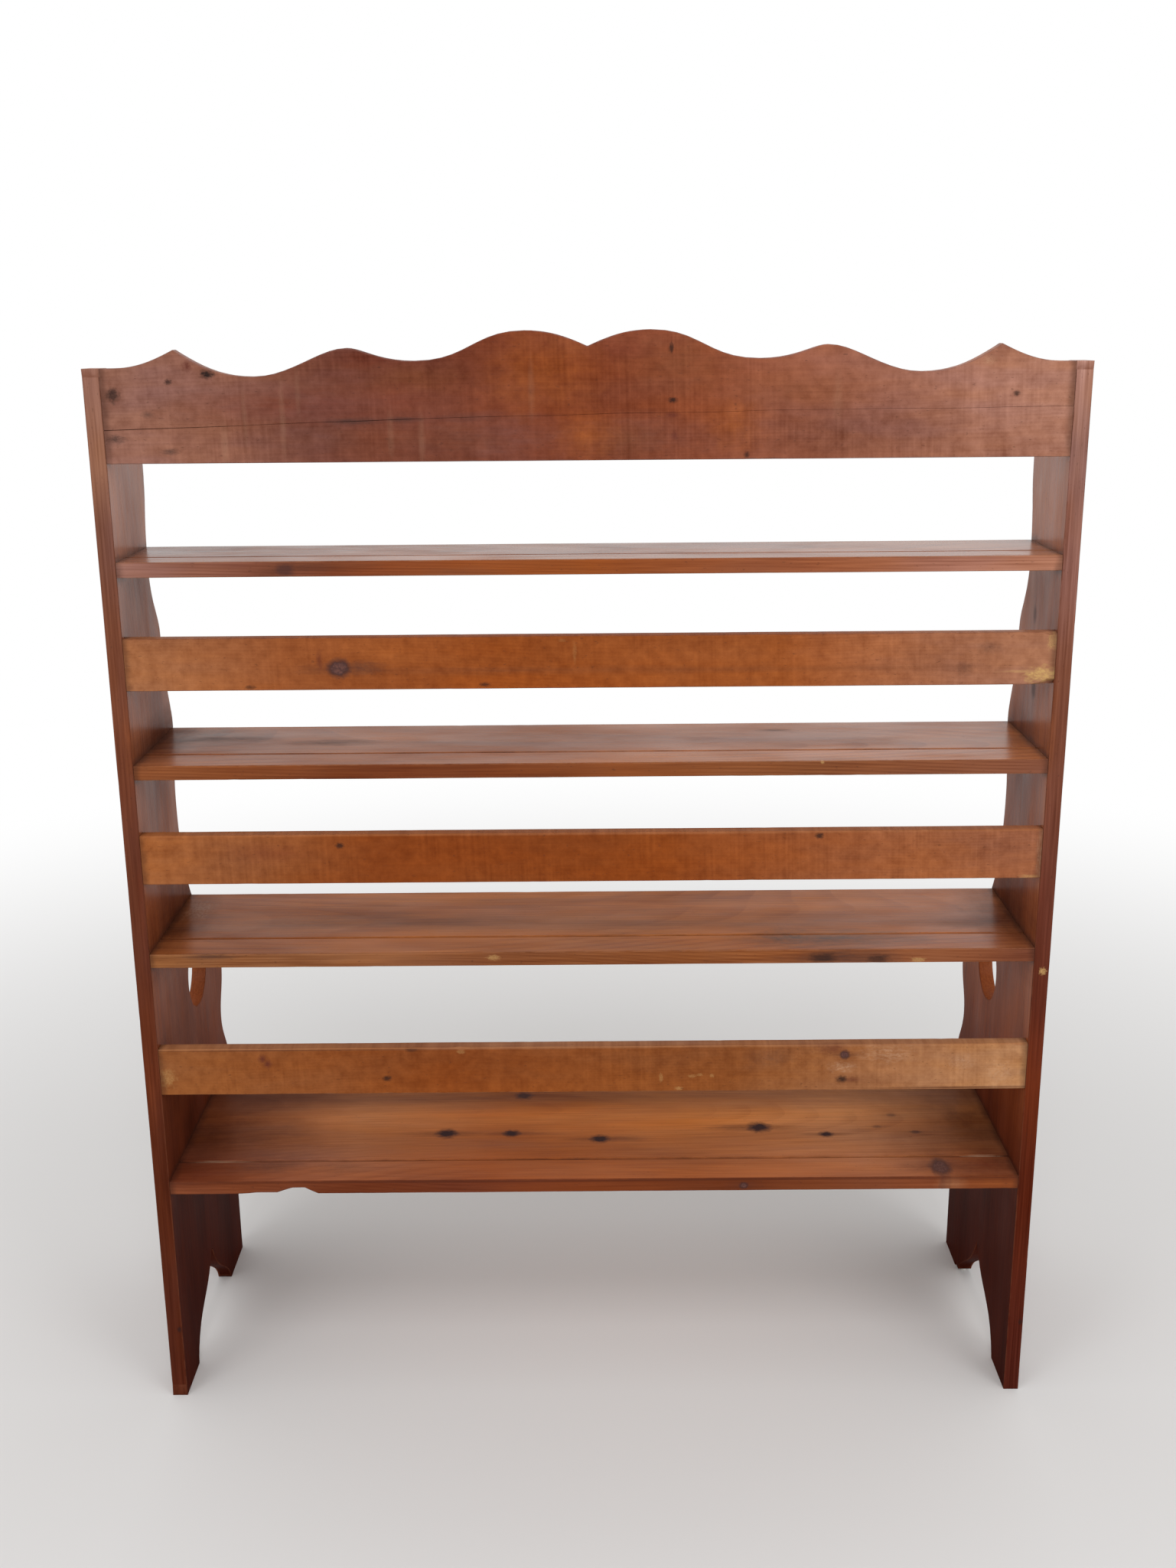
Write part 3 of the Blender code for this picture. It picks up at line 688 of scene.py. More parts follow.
            "ink": [(-0.449, 1.0865, 0.006, 0.0025, 0.60), (-0.1386, 1.088, 0.006, 0.0025, 0.75)],
            "raw": [
                (0.600, 1.0945, 0.019, 0.011, 0.95), (0.608, 1.140, 0.007, 0.011, 0.60),
                (0.575, 1.100, 0.030, 0.0016, 0.45), (-0.020, 1.130, 0.0024, 0.0120, 0.14),
                (-0.036, 1.146, 0.0050, 0.0020, 0.14),
            ],
        },
    ),
    PineBoard(
        "middle_plate_rail",
        "rail_pine",
        seed=9.6,
        tones=(
            (-0.61, (0.345, 0.115, 0.036)), (-0.30, (0.212, 0.048, 0.010)), (0.10, (0.245, 0.055, 0.010)),
            (0.45, (0.325, 0.103, 0.038)), (0.61, (0.310, 0.108, 0.051)),
        ),
        varnish=((-0.61, 0.10), (0.30, 0.10), (0.61, 0.18)),
        saw=0.8,
        arris_tone=(0.27, 0.085, 0.030),
        near={
            "mauve": [(0.540, 0.850, 0.040, 0.016, 0.35)],
            "umber": [(-0.482, 0.848, 0.032, 0.016, 0.45)],
            "russet": [(-0.440, 0.856, 0.030, 0.008, 0.40)],
            "ink": [(-0.3417, 0.8656, 0.0050, 0.0036, 0.85), (0.3096, 0.8745, 0.0055, 0.0036, 0.85)],
            "rubbed": [(0.611, 0.846, 0.0035, 0.032, 0.50)],
            "raw": [(0.598, 0.8135, 0.013, 0.0030, 0.50)],
        },
        # The top face lighter: partly worn, partly a painted highlight
        rail_top={
            "amber": [(0.10, 0.8815, 0.60, 0.70)],
            "tan": [(0.20, 0.8815, 0.60, 0.50)],
        },
    ),
    PineBoard(
        "lower_plate_rail",
        "rail_pine",
        seed=11.4,
        tones=(
            (-0.61, (0.252, 0.085, 0.027)), (-0.20, (0.240, 0.060, 0.013)), (0.20, (0.250, 0.078, 0.022)),
            (0.42, (0.370, 0.148, 0.056)), (0.61, (0.450, 0.218, 0.100)),
        ),
        varnish=((-0.61, 0.10), (0.61, 0.14)),
        saw=0.6,
        arris_tone=(0.35, 0.145, 0.060),
        chips=(
            Chip((-0.186, NEAR_Y, 0.5655), 0.012, (0.0, 1.8, 1.8)),
            Chip((0.606, NEAR_Y, 0.5655), 0.010, (0.0, 1.4, 1.4)),
        ),
        knots=(near_knot("ring_knot", 0.3552, 0.5502, 0.0065, 1.0, 1.0),),
        near={
            "umber": [(0.385, 0.510, 0.060, 0.006, 0.35)],
            "slate": [(0.247, 0.548, 0.024, 0.012, 0.30)],
            "rust": [
                (-0.4665, 0.5500, 0.0045, 0.0050, 0.85), (-0.4595, 0.5425, 0.0050, 0.0050, 0.85),
                (0.3400, 0.5600, 0.0160, 0.0060, 0.60), (0.3640, 0.5115, 0.0120, 0.0030, 0.50),
            ],
            "ink": [
                (-0.2917, 0.5189, 0.0055, 0.0038, 0.85), (0.3522, 0.5124, 0.0062, 0.0044, 0.85),
                (-0.2564, 0.5624, 0.008, 0.0024, 0.60),
            ],
            "dark_line": [(-0.450, 0.5632, 0.170, 0.0010, 0.60), (0.530, 0.4982, 0.110, 0.0015, 0.80)],
            "rubbed": [
                (0.352, 0.5310, 0.014, 0.0060, 0.50), (0.415, 0.5510, 0.026, 0.0100, 0.45),
                (0.521, 0.5380, 0.013, 0.0080, 0.45), (0.575, 0.5220, 0.015, 0.0150, 0.35),
            ],
            "raw": [
                (-0.602, 0.522, 0.010, 0.012, 0.32), (0.0963, 0.5165, 0.0026, 0.0060, 0.34),
                (0.1400, 0.5190, 0.0050, 0.0024, 0.30), (0.1510, 0.5210, 0.0040, 0.0020, 0.30),
                (0.1685, 0.5195, 0.0030, 0.0024, 0.35), (0.1214, 0.5000, 0.0050, 0.0026, 0.42),
                (-0.186, 0.5590, 0.0055, 0.0028, 0.30),
            ],
        },
        # The top face lighter: partly worn, partly a painted highlight
        rail_top={"tan": [(0.0, 0.5655, 0.80, 0.85)]},
    ),
)


def select_alone(piece):
    """Selects one piece and nothing else."""
    bpy.ops.object.select_all(action="DESELECT")
    piece.select_set(True)
    bpy.context.view_layer.objects.active = piece


def open_edit(piece):
    """Opens one piece alone in edit mode, with nothing of it selected."""
    select_alone(piece)
    bpy.ops.object.mode_set(mode="EDIT")
    bpy.ops.mesh.select_mode(type="EDGE")
    bpy.ops.mesh.select_all(action="DESELECT")


def close_edit():
    bpy.ops.object.mode_set(mode="OBJECT")


def pick_edges(piece, wanted):
    """Selects the edges that are wanted, in edit mode, and says how many there are."""
    bpy.ops.mesh.select_all(action="DESELECT")
    shape = bmesh.from_edit_mesh(piece.data)
    shape.normal_update()
    picked = [edge for edge in shape.edges if wanted(edge)]
    for edge in picked:
        edge.select_set(True)
    bmesh.update_edit_mesh(piece.data)
    return len(picked)


def halve_long_edges(piece, wanted):
    """Halves the wanted edges, in edit mode, until none is longer than the spacing along an arris."""

    def is_long(edge):
        return edge.calc_length() > ARRIS_SPACING and wanted(edge)

    while pick_edges(piece, is_long):
        bpy.ops.mesh.subdivide(number_cuts=1)


def cut_lines(board):
    """Places along a board where its faces are cut: at housings, through nails and evenly between."""
    along = board.axes[0]
    lines = [corner[along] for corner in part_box(board.node)]
    if along == Z:
        nails = [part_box(node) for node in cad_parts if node.startswith("nail_")]
        lines += [(low.z + high.z) / 2 for low, high in nails]
        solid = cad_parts[board.node].data
        walls = [face for face in solid.polygons if abs(face.normal.z) > SQUARE_ON]
        lines += [wall.center.z for wall in walls if wall.area > HOUSING_WALL_AREA]
    lines.sort()
    spread = [lines[0]]
    for line in lines[1:]:
        gap = line - spread[-1]
        if gap > MIN_STRIP:
            count = math.ceil(gap / STRIP_LENGTH)
            spread += [spread[-1] + gap * step / count for step in range(1, count + 1)]
    return spread[1:-1]


def drop_idle_vertices(piece):
    """Dissolves the vertices that only lie on an edge, in edit mode."""
    bpy.ops.mesh.select_mode(type="VERT")
    bpy.ops.mesh.select_all(action="DESELECT")
    shape = bmesh.from_edit_mesh(piece.data)
    for vertex in shape.verts:
        vertex.select_set(len(vertex.link_edges) == 2)
    bmesh.update_edit_mesh(piece.data)
    bpy.ops.mesh.dissolve_verts()
    bpy.ops.mesh.select_mode(type="EDGE")


def board_copy(board):
    """A merged copy of a packed board, with its flat faces whole between cuts across its length."""
    piece = bpy.data.objects.new(board.node + "_board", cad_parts[board.node].data.copy())
    bpy.context.scene.collection.objects.link(piece)
    piece.data.materials.clear()
    normal = Vector((0.0, 0.0, 0.0))
    normal[board.axes[0]] = 1.0
    open_edit(piece)
    bpy.ops.mesh.select_all(action="SELECT")
    bpy.ops.mesh.remove_doubles(threshold=MERGE_DISTANCE)
    bpy.ops.mesh.dissolve_limited(angle_limit=FLAT_ANGLE)
    for line in cut_lines(board):
        bpy.ops.mesh.select_all(action="SELECT")
        bpy.ops.mesh.bisect(plane_co=normal * line, plane_no=normal)
        bpy.ops.mesh.mark_seam()
    bpy.ops.mesh.select_all(action="SELECT")
    bpy.ops.mesh.dissolve_limited(angle_limit=FLAT_ANGLE, delimit={"SEAM"})
    bpy.ops.mesh.select_all(action="SELECT")
    bpy.ops.mesh.mark_seam(clear=True)
    drop_idle_vertices(piece)
    close_edit()
    bpy.ops.mesh.customdata_custom_splitnormals_clear()
    return piece


def arris_test(board):
    """A test for the edges of a board that get worn: those along its broad faces, and its corners."""
    through = board.axes[2]
    low, high = (corner[through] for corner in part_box(board.node))
    is_side = through == X

    def in_joint(edge):
        middle = (edge.verts[0].co + edge.verts[1].co) / 2
        return not is_side and abs(middle.x) > INNER_X - JOINT_SKIP

    def is_wall(face):
        heights = [vertex.co[through] for vertex in face.verts]
        is_deep = max(heights) - min(heights) > FULL_DEPTH * (high - low)
        return abs(face.normal[through]) < EDGE_ON and is_deep

    def is_arris(edge):
        if len(edge.link_faces) != 2 or in_joint(edge):
            return False
        walls = sum(is_wall(face) for face in edge.link_faces)
        broad = sum(abs(face.normal[through]) > SQUARE_ON for face in edge.link_faces)
        corner = walls == 2 and edge.calc_face_angle() > CORNER_ANGLE
        return corner or (walls == 1 and broad == 1)

    return is_arris


def arris_runs(piece):
    """The selected arris vertices and which way the arris runs at each, or no way at a corner."""
    shape = bmesh.from_edit_mesh(piece.data)
    ways = {}
    for edge in shape.edges:
        if edge.select:
            first, second = (vertex.co.copy().freeze() for vertex in edge.verts)
            way = (second - first).normalized()
            ways.setdefault(first, []).append(way)
            ways.setdefault(second, []).append(-way)
    runs = []
    for place in sorted(ways, key=tuple):
        around = ways[place]
        straight = len(around) == 2 and around[0].dot(around[1]) < STRAIGHT_RUN
        runs.append((place, (around[0] - around[1]).normalized() if straight else Vector()))
    return runs


def ease_arrises(piece, board):
    """Rounds a board's arrises, and gives the places along them and their runs from before."""
    is_arris = arris_test(board)
    along, _, through = board.axes

    def is_chord(edge):
        first, second = (vertex.co for vertex in edge.verts)
        flat = all(abs(face.normal[through]) > SQUARE_ON for face in edge.link_faces)
        return flat and edge.calc_length() < MAX_CHORD and abs(first[along] - second[along]) > MIN_CHORD

    open_edit(piece)
    halve_long_edges(piece, is_arris)
    if pick_edges(piece, is_chord):
        bpy.ops.mesh.dissolve_edges(use_verts=False)
    pick_edges(piece, is_arris)
    bpy.ops.mesh.remove_doubles(threshold=ARRIS_MERGE)
    pick_edges(piece, is_arris)
    runs = arris_runs(piece)
    bpy.ops.mesh.bevel(offset=ARRIS, segments=ARRIS_STEPS, affect="EDGES", clamp_overlap=False)
    close_edit()
    return runs


def wear_at(place, board):
    """How much wider the wear is than the eased arris at a place on it, each way, and how broken it is."""
    seed = Vector((board.seed, 0.0, 0.0))
    slow = noise.noise(place * WEAR_SCALE + seed)
    dents = max(0.0, noise.noise(place * DENT_SCALE + seed * 2.0) - DENT_FROM)
    even = WEAR_MIDDLE + WEAR_SWING * slow + DENT_GROWTH * dents
    wear = Vector((even, even, even))
    broken = 0.0
    for chip in board.chips:
        away = place - Vector(chip.place)
        share = away[board.axes[0]] / chip.reach
        away[board.axes[0]] = 0.0
        if abs(share) < 1.0 and away.length < CHIP_ASIDE:
            slope = 1.0 + chip.lean if share < chip.lean else 1.0 - chip.lean
            ragged = CHIP_RAGGED * noise.noise(place * CHIP_RAGGED_SCALE + seed)
            depth = CHIP_STEEPNESS * (1.0 - abs(share - chip.lean) / slope) + ragged
            depth = min(1.0, max(0.0, depth))
            wear += Vector(chip.growth) * depth
            broken = max(broken, depth)
    return wear, broken


def wear_arrises(piece, board, runs):
    """Wears a board's eased arrises unevenly, breaks its chips out and marks them for the finish."""
    through = board.axes[2]
    faces = [corner[through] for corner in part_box(board.node)]
    finder = kdtree.KDTree(len(runs))
    for index, (place, _) in enumerate(runs):
        finder.insert(place, index)
    finder.balance()
    marked = piece.data.attributes.new("arris", "FLOAT", "POINT")
    for vertex in piece.data.vertices:
        place, index, distance = finder.find(vertex.co)
        if distance > ARRIS_REACH:
            continue
        offset = vertex.co - place
        run = runs[index][1]
        offset -= run * offset.dot(run)
        inside = min(abs(vertex.co[through] - face) for face in faces)
        aside = math.sqrt(max(0.0, offset.length_squared - offset[through] ** 2))
        marked.data[vertex.index].value = float(min(inside, aside) > ARRIS_INSET)
        wear, broken = wear_at(place, board)
        hollow = CHIP_HOLLOW * broken * max(0.0, ARRIS - inside - aside)
        hollows = Vector([math.copysign(min(hollow, abs(length)), length) for length in offset])
        vertex.co += wear * (offset + hollows) - offset


def check_height(x):
    """Height of the straight line between the two ends of the crest's check."""
    share = (x + INNER_X) / (2 * INNER_X)
    return CHECK_LEFT_HEIGHT + share * (CHECK_RIGHT_HEIGHT - CHECK_LEFT_HEIGHT)


def check_noise(x, scale, row):
    """Unevenness along the check."""
    return noise.noise(Vector((x * scale, row, 0.0)))


def open_check(piece):
    """Opens the drying check along the crest's near face."""
    slope = (CHECK_RIGHT_HEIGHT - CHECK_LEFT_HEIGHT) / (2 * INNER_X)
    normal = Vector((-slope, 0.0, 1.0)).normalized()

    def rise(vertex):
        return vertex.co.z - check_height(vertex.co.x)

    def on_check(vertex):
        return abs(vertex.co.y - NEAR_Y) < MERGE_DISTANCE and abs(rise(vertex)) < CHECK_BAND

    def along_check(edge):
        return all(on_check(vertex) for vertex in edge.verts)

    open_edit(piece)
    for shift in (-CHECK_HALF_WIDTH, 0.0, CHECK_HALF_WIDTH):
        bpy.ops.mesh.select_all(action="SELECT")
        bpy.ops.mesh.bisect(plane_co=(0.0, 0.0, check_height(0.0) + shift), plane_no=normal)
    halve_long_edges(piece, along_check)
    close_edit()
    marked = piece.data.attributes.new("check", "FLOAT", "POINT")
    for vertex in piece.data.vertices:
        if not on_check(vertex):
            continue
        x = vertex.co.x
        lift = rise(vertex)
        bow = CHECK_BOW * (1 - (x / INNER_X) ** 2)
        wander = CHECK_WANDER * check_noise(x, CHECK_WANDER_SCALE, CHECK_WANDER_ROW)
        fade = min(1.0, max(CHECK_FAINTEST, 1.0 - CHECK_FADE * (x - CHECK_FADE_START)))
        swing = CHECK_OPENING_SWING * check_noise(x, CHECK_OPENING_SCALE, CHECK_OPENING_ROW)
        opening = fade * (CHECK_OPENING + swing)
        vertex.co.z += bow + wander + lift * (opening - 1.0)
        if abs(lift) < CHECK_MIDDLE:
            vertex.co.y += CHECK_DEPTH * opening
            marked.data[vertex.index].value = min(1.0, opening)


def settle_normals(piece):
    """Smooth rounds and flat faces."""
    select_alone(piece)
    bpy.ops.object.shade_smooth_by_angle(angle=SMOOTH_ANGLE)
    weighted = piece.modifiers.new("flat_faces", "WEIGHTED_NORMAL")
    weighted.keep_sharp = True
    bpy.ops.object.modifier_apply(modifier=weighted.name)


class Wiring:
    """Adds nodes to a tree and wires them, so that a finish reads from its first value to its last."""

    NODE_SPACING = 180

    def __init__(self, tree):
        self.tree = tree

    def feed(self, socket, value):
        if isinstance(value, bpy.types.NodeSocket):
            self.tree.links.new(value, socket)
        else:
            socket.default_value = value

    def add(self, kind, inputs=None, **settings):
        node = self.tree.nodes.new(kind)
        node.location.x = self.NODE_SPACING * len(self.tree.nodes)
        for name, value in settings.items():
            setattr(node, name, value)
        for name, value in (inputs or {}).items():
            self.feed(node.inputs[name], value)
        return node

    def math(self, operation, *values, clamp=False):
        node = self.add("ShaderNodeMath", operation=operation, use_clamp=clamp)
        for socket, value in zip(node.inputs, values):
            self.feed(socket, value)
        return node.outputs[0]

    def plus(self, first, second, clamp=False):
        return self.math("ADD", first, second, clamp=clamp)

    def minus(self, first, second):
        return self.math("SUBTRACT", first, second)

    def times(self, first, second, clamp=False):
        return self.math("MULTIPLY", first, second, clamp=clamp)

    def scaled(self, value, factor, start):
        """A value times a factor, counted from a start."""
        return self.math("MULTIPLY_ADD", value, factor, start)

    def lessening(self, value, amount):
        """1 where the value is 0, and less by that amount where it is 1."""
        return self.scaled(value, -amount, 1.0)

    def swing(self, value, amount):
        """A value around a half, turned into one around zero of that amount."""
        return self.scaled(value, 2.0 * amount, -amount)

    def step(self, value, low, high):
        """Rises smoothly from 0 at low to 1 at high."""
        inputs = {"Value": value, "From Min": low, "From Max": high}
        return self.add("ShaderNodeMapRange", inputs, interpolation_type="SMOOTHSTEP").outputs["Result"]

    def vector(self, operation, *values):
        node = self.add("ShaderNodeVectorMath", operation=operation)
        for socket, value in zip(node.inputs, values):
            self.feed(socket, value)
        return node.outputs["Value" if operation == "LENGTH" else "Vector"]

    def combine(self, x, y, z):
        return self.add("ShaderNodeCombineXYZ", {"X": x, "Y": y, "Z": z}).outputs[0]

    def separate(self, vector):
        return self.add("ShaderNodeSeparateXYZ", {"Vector": vector}).outputs

    def place(self):
        """Where a point lies, in the piece's own frame."""
        return self.add("ShaderNodeTexCoord").outputs["Object"]

    def attribute(self, name):
        return self.add("ShaderNodeAttribute", attribute_name=name).outputs["Fac"]

    def noise(self, vector, scale, detail=2.0, roughness=0.5):
        inputs = {"Vector": vector, "Scale": scale, "Detail": detail, "Roughness": roughness}
        return self.add("ShaderNodeTexNoise", inputs).outputs["Fac"]

    def line_noise(self, value, scale, detail=2.0):
        inputs = {"W": value, "Scale": scale, "Detail": detail}
        return self.add("ShaderNodeTexNoise", inputs, noise_dimensions="1D").outputs["Fac"]

    def mix(self, factor, first, second, blend="MIX"):
        node = self.add("ShaderNodeMix", data_type="RGBA", blend_type=blend)
        colours = [socket for socket in node.inputs if socket.type == "RGBA"]
        self.feed(node.inputs["Factor"], factor)
        for socket, value in zip(colours, (first, second)):
            self.feed(socket, value if isinstance(value, bpy.types.NodeSocket) else (*value, 1.0))
        return next(socket for socket in node.outputs if socket.type == "RGBA")

    def tint(self, first, second):
        """One colour multiplied by another."""
        return self.mix(1.0, first, second, "MULTIPLY")

    def cover(self, mask, share, colour, dirt):
        """A colour with a share of dirt over it where the mask is 1."""
        return self.mix(self.times(mask, share), colour, dirt)

    def group(self, name, inputs):
        return self.add("ShaderNodeGroup", inputs, node_tree=bpy.data.node_groups[name]).outputs

    def bump(self, height, strength, distance):
        inputs = {"Height": height, "Strength": strength, "Distance": distance}
        return self.add("ShaderNodeBump", inputs).outputs["Normal"]

    def blend(self, factor, first, second):
        """One shader that goes over into another."""
        node = self.add("ShaderNodeMixShader", {"Fac": factor})
        self.feed(node.inputs[1], first.outputs[0])
        self.feed(node.inputs[2], second.outputs[0])
        return node

    def finish(self, shader, kind="ShaderNodeOutputMaterial"):
        self.feed(self.add(kind).inputs["Surface"], shader.outputs[0])


VECTOR_INPUTS = ("Vector", "Place", "Reach")


def start_group(name, inputs, outputs):
    """A shader node group with named inputs, vectors where the name says so, and value outputs."""
    tree = bpy.data.node_groups.new(name, "ShaderNodeTree")
    for label in inputs:
        kind = "NodeSocketVector" if label in VECTOR_INPUTS else "NodeSocketFloat"
        tree.interface.new_socket(label, in_out="INPUT", socket_type=kind)
    for label in outputs:
        tree.interface.new_socket(label, in_out="OUTPUT", socket_type="NodeSocketFloat")
    wire = Wiring(tree)
    given = wire.add("NodeGroupInput").outputs
    result = wire.add("NodeGroupOutput").inputs
    return wire, given, result


def make_spot_group():
    """A ragged spot at a place: filled inside its reach, with a core in its middle."""
    wire, given, result = start_group(
        "spot", ("Vector", "Place", "Reach", "Ragged", "Softness", "Broken"), ("Fill", "Core")
    )
    offset = wire.vector("SUBTRACT", given["Vector"], given["Place"])
    offset = wire.vector("DIVIDE", offset, given["Reach"])
    own = wire.vector("ADD", offset, wire.vector("MULTIPLY", given["Place"], (37.0, 41.0, 43.0)))
    rough = wire.swing(wire.noise(own, scale=1.7, detail=4.0, roughness=0.6), 1.0)
    distance = wire.scaled(rough, given["Ragged"], wire.vector("LENGTH", offset))
    inside = wire.math("DIVIDE", wire.minus(1.0, distance), given["Softness"])
    fill = wire.math("MULTIPLY_ADD", inside, 0.5, 0.5, clamp=True)
    patches = wire.step(wire.noise(own, scale=4.5, detail=3.0, roughness=0.6), 0.62, 0.40)
    gaps = wire.times(patches, given["Broken"])
    core = wire.step(distance, 0.85, 0.50)
    wire.feed(result["Fill"], wire.times(fill, wire.minus(1.0, gaps)))
    wire.feed(result["Core"], wire.times(core, wire.lessening(patches, 0.6)))


def make_grain_group():
    """Pine figure from growth rings about a heart below the face: late wood, fibres and stain clouds."""
    wire, given, result = start_group(
        "pine_grain",
        ("Along", "Across", "Through", "Ring Width", "Heart", "Lean", "Seed"),
        ("Late Wood", "Fibre", "Cloud", "Hue"),
    )
    shift = wire.vector("SCALE", (3.1, 1.7, 2.3))
    wire.feed(shift.node.inputs["Scale"], given["Seed"])
    place = wire.combine(given["Along"], given["Across"], given["Through"])
    place = wire.vector("ADD", place, shift)

    # Growth rings, bent by the way the tree grew
    slow = wire.vector("MULTIPLY", place, (1.1, 5.0, 5.0))
    wander = wire.swing(wire.noise(slow, scale=1.0, detail=2.0), 0.055)
    sink = wire.swing(wire.noise(slow, scale=0.6, detail=1.0), 0.06)
    depth = wire.scaled(given["Along"], given["Lean"], given["Heart"])
    depth = wire.plus(wire.plus(depth, given["Through"]), sink)
    aside = wire.plus(given["Across"], wander)
    radius = wire.math("SQRT", wire.plus(wire.math("POWER", aside, 2.0), wire.math("POWER", depth, 2.0)))
    ring = wire.math("FRACT", wire.math("DIVIDE", radius, given["Ring Width"]))
    late = wire.times(wire.step(ring, 0.35, 0.92), wire.step(ring, 1.0, 0.94))
    patchy = wire.step(wire.noise(slow, scale=2.5, detail=2.0), 0.30, 0.62)
    wire.feed(result["Late Wood"], wire.times(late, patchy))

    # Fibres and clouds, drawn out along the grain
    fibres = wire.vector("MULTIPLY", place, (7.0, 380.0, 380.0))
    clouds = wire.vector("MULTIPLY", place, (2.6, 11.0, 11.0))
    hues = wire.vector("ADD", clouds, (7.3, 2.9, 5.1))
    wire.feed(result["Fibre"], wire.noise(fibres, scale=1.0, detail=3.0, roughness=0.65))
    wire.feed(result["Cloud"], wire.noise(clouds, scale=1.0, detail=4.0, roughness=0.55))
    wire.feed(result["Hue"], wire.noise(hues, scale=1.6, detail=3.0, roughness=0.6))


def make_saw_group():
    """Band-saw marks across the grain, in fine lines and broader bands, and the mottled stain between."""
    wire, given, result = start_group(
        "saw_marks", ("Along", "Across", "Seed"), ("Lines", "Bands", "Mottle")
    )
    slanted = wire.scaled(given["Across"], 0.03, given["Along"])
    slanted = wire.plus(slanted, given["Seed"])
    place = wire.combine(slanted, given["Across"], given["Seed"])
    slanted = wire.plus(slanted, wire.swing(wire.noise(place, scale=30.0, detail=2.0), 0.0012))
    fading = wire.step(wire.noise(place, scale=14.0, detail=2.0), 0.35, 0.65)
    patches = wire.step(wire.noise(place, scale=9.0, detail=2.0), 0.30, 0.62)
    lines = wire.swing(wire.line_noise(slanted, scale=210.0, detail=2.0), 0.5)
    bands = wire.swing(wire.line_noise(slanted, scale=34.0, detail=3.0), 0.5)
    wire.feed(result["Lines"], wire.scaled(lines, fading, 0.5))
    wire.feed(result["Bands"], wire.scaled(bands, patches, 0.5))
    wire.feed(result["Mottle"], wire.noise(place, scale=60.0, detail=4.0, roughness=0.65))


def make_wear_group():
    """Rubbed arrises, broken up along their length: wear, and on the crest also a painted reflection."""
    wire, given, result = start_group("arris_wear", ("Vector", "Arris"), ("Wear",))
    broken = wire.step(wire.noise(given["Vector"], scale=55.0, detail=4.0, roughness=0.6), 0.32, 0.60)
    wire.feed(result["Wear"], wire.times(given["Arris"], broken, clamp=True))


def make_dirt_and_shade_group():
    """Dirt and painted shade where two boards meet."""
    wire, given, result = start_group("joint_dirt_and_shade", ("Vector", "Distance", "Width"), ("Dirt And Shade",))
    ragged = wire.swing(wire.noise(given["Vector"], scale=45.0, detail=3.0), 0.006)
    distance = wire.plus(given["Distance"], ragged)
    share = wire.math("DIVIDE", distance, given["Width"])
    wire.feed(result["Dirt And Shade"], wire.step(share, 1.0, 0.0))


def make_scuff_group():
    """Dull and bright patches of the old varnish, with fine specks."""
    wire, given, result = start_group("varnish_scuffs", ("Vector",), ("Dull", "Specks"))
    specks = wire.noise(given["Vector"], scale=420.0, detail=1.0)
    wire.feed(result["Dull"], wire.noise(given["Vector"], scale=16.0, detail=4.0, roughness=0.6))
    wire.feed(result["Specks"], wire.step(specks, 0.70, 0.78))


def tone_ramp(wire, value, stops):
    """A colour that changes along a board, from stops of place and colour."""
    start, end = stops[0][0], stops[-1][0]
    share = wire.math("DIVIDE", wire.minus(value, start), end - start)
    ramp = wire.add("ShaderNodeValToRGB", {"Fac": share})
    elements = ramp.color_ramp.elements
    while len(elements) < len(stops):
        elements.new(0.5)
    for element, (place, colour) in zip(elements, stops):
        element.position = (place - start) / (end - start)
        element.color = (*colour, 1.0)
    return ramp.outputs["Color"]


def weight_ramp(wire, value, stops):
    """A weight that changes along a board, from stops of place and weight."""
    colour = tone_ramp(wire, value, [(place, (weight, weight, weight)) for place, weight in stops])
    return wire.add("ShaderNodeSeparateColor", {"Color": colour}).outputs["Red"]


def knot_tails(board):
    """The dark streaks that run out of a board's knots along the grain."""
    along, across, _ = board.axes
    tails = []
    for knot in board.knots:
        reach = list(knot.reach)
        reach[along] *= TAIL_LENGTH
        reach[across] *= TAIL_HEIGHT
        tails.append(Mark("tail", knot.place, tuple(reach), TAIL_STRENGTH * knot.strength))
    return tails


def face_marks(board):
    """The marks of a board, from its rows for each face."""
    low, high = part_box(board.node)
    inner_x = math.copysign(INNER_X, low.x)
    marks = []
    for kind, rows in board.near.items():
        for x, z, length, height, strength in rows:
            marks.append(Mark(kind, (x, NEAR_Y, z), (length, SKIN, height), strength))
    for kind, rows in board.top.items():
        for x, y, length, depth, strength in rows:
            marks.append(Mark(kind, (x, y, high.z), (length, depth, SKIN), strength))
    for kind, rows in board.inner.items():
        for y, z, depth, height, strength in rows:
            marks.append(Mark(kind, (inner_x, y, z), (SKIN, depth, height), strength))
    for kind, rows in board.rail_top.items():
        for x, z, length, strength in rows:
            reach = (length, RAIL_TOP_DEPTH, RAIL_TOP_SKIN)
            marks.append(Mark(kind, (x, RAIL_MIDDLE_Y, z), reach, strength))
    return marks


def place_spots(wire, place, marks, kind):
    """The outputs of one spot for each mark of one kind."""
    spots = []
    for mark in marks:
        inputs = {"Vector": place, "Place": mark.place, "Reach": mark.reach}
        inputs |= {"Ragged": kind.ragged, "Softness": kind.softness, "Broken": kind.broken}
        spots.append(wire.group("spot", inputs))
    return spots


def strongest(wire, marks, spots, output):
    """The strongest of several spots at each point."""
    total = 0.0
    for mark, spot in zip(marks, spots):
        total = wire.math("MAXIMUM", total, wire.times(spot[output], mark.strength))
    return total


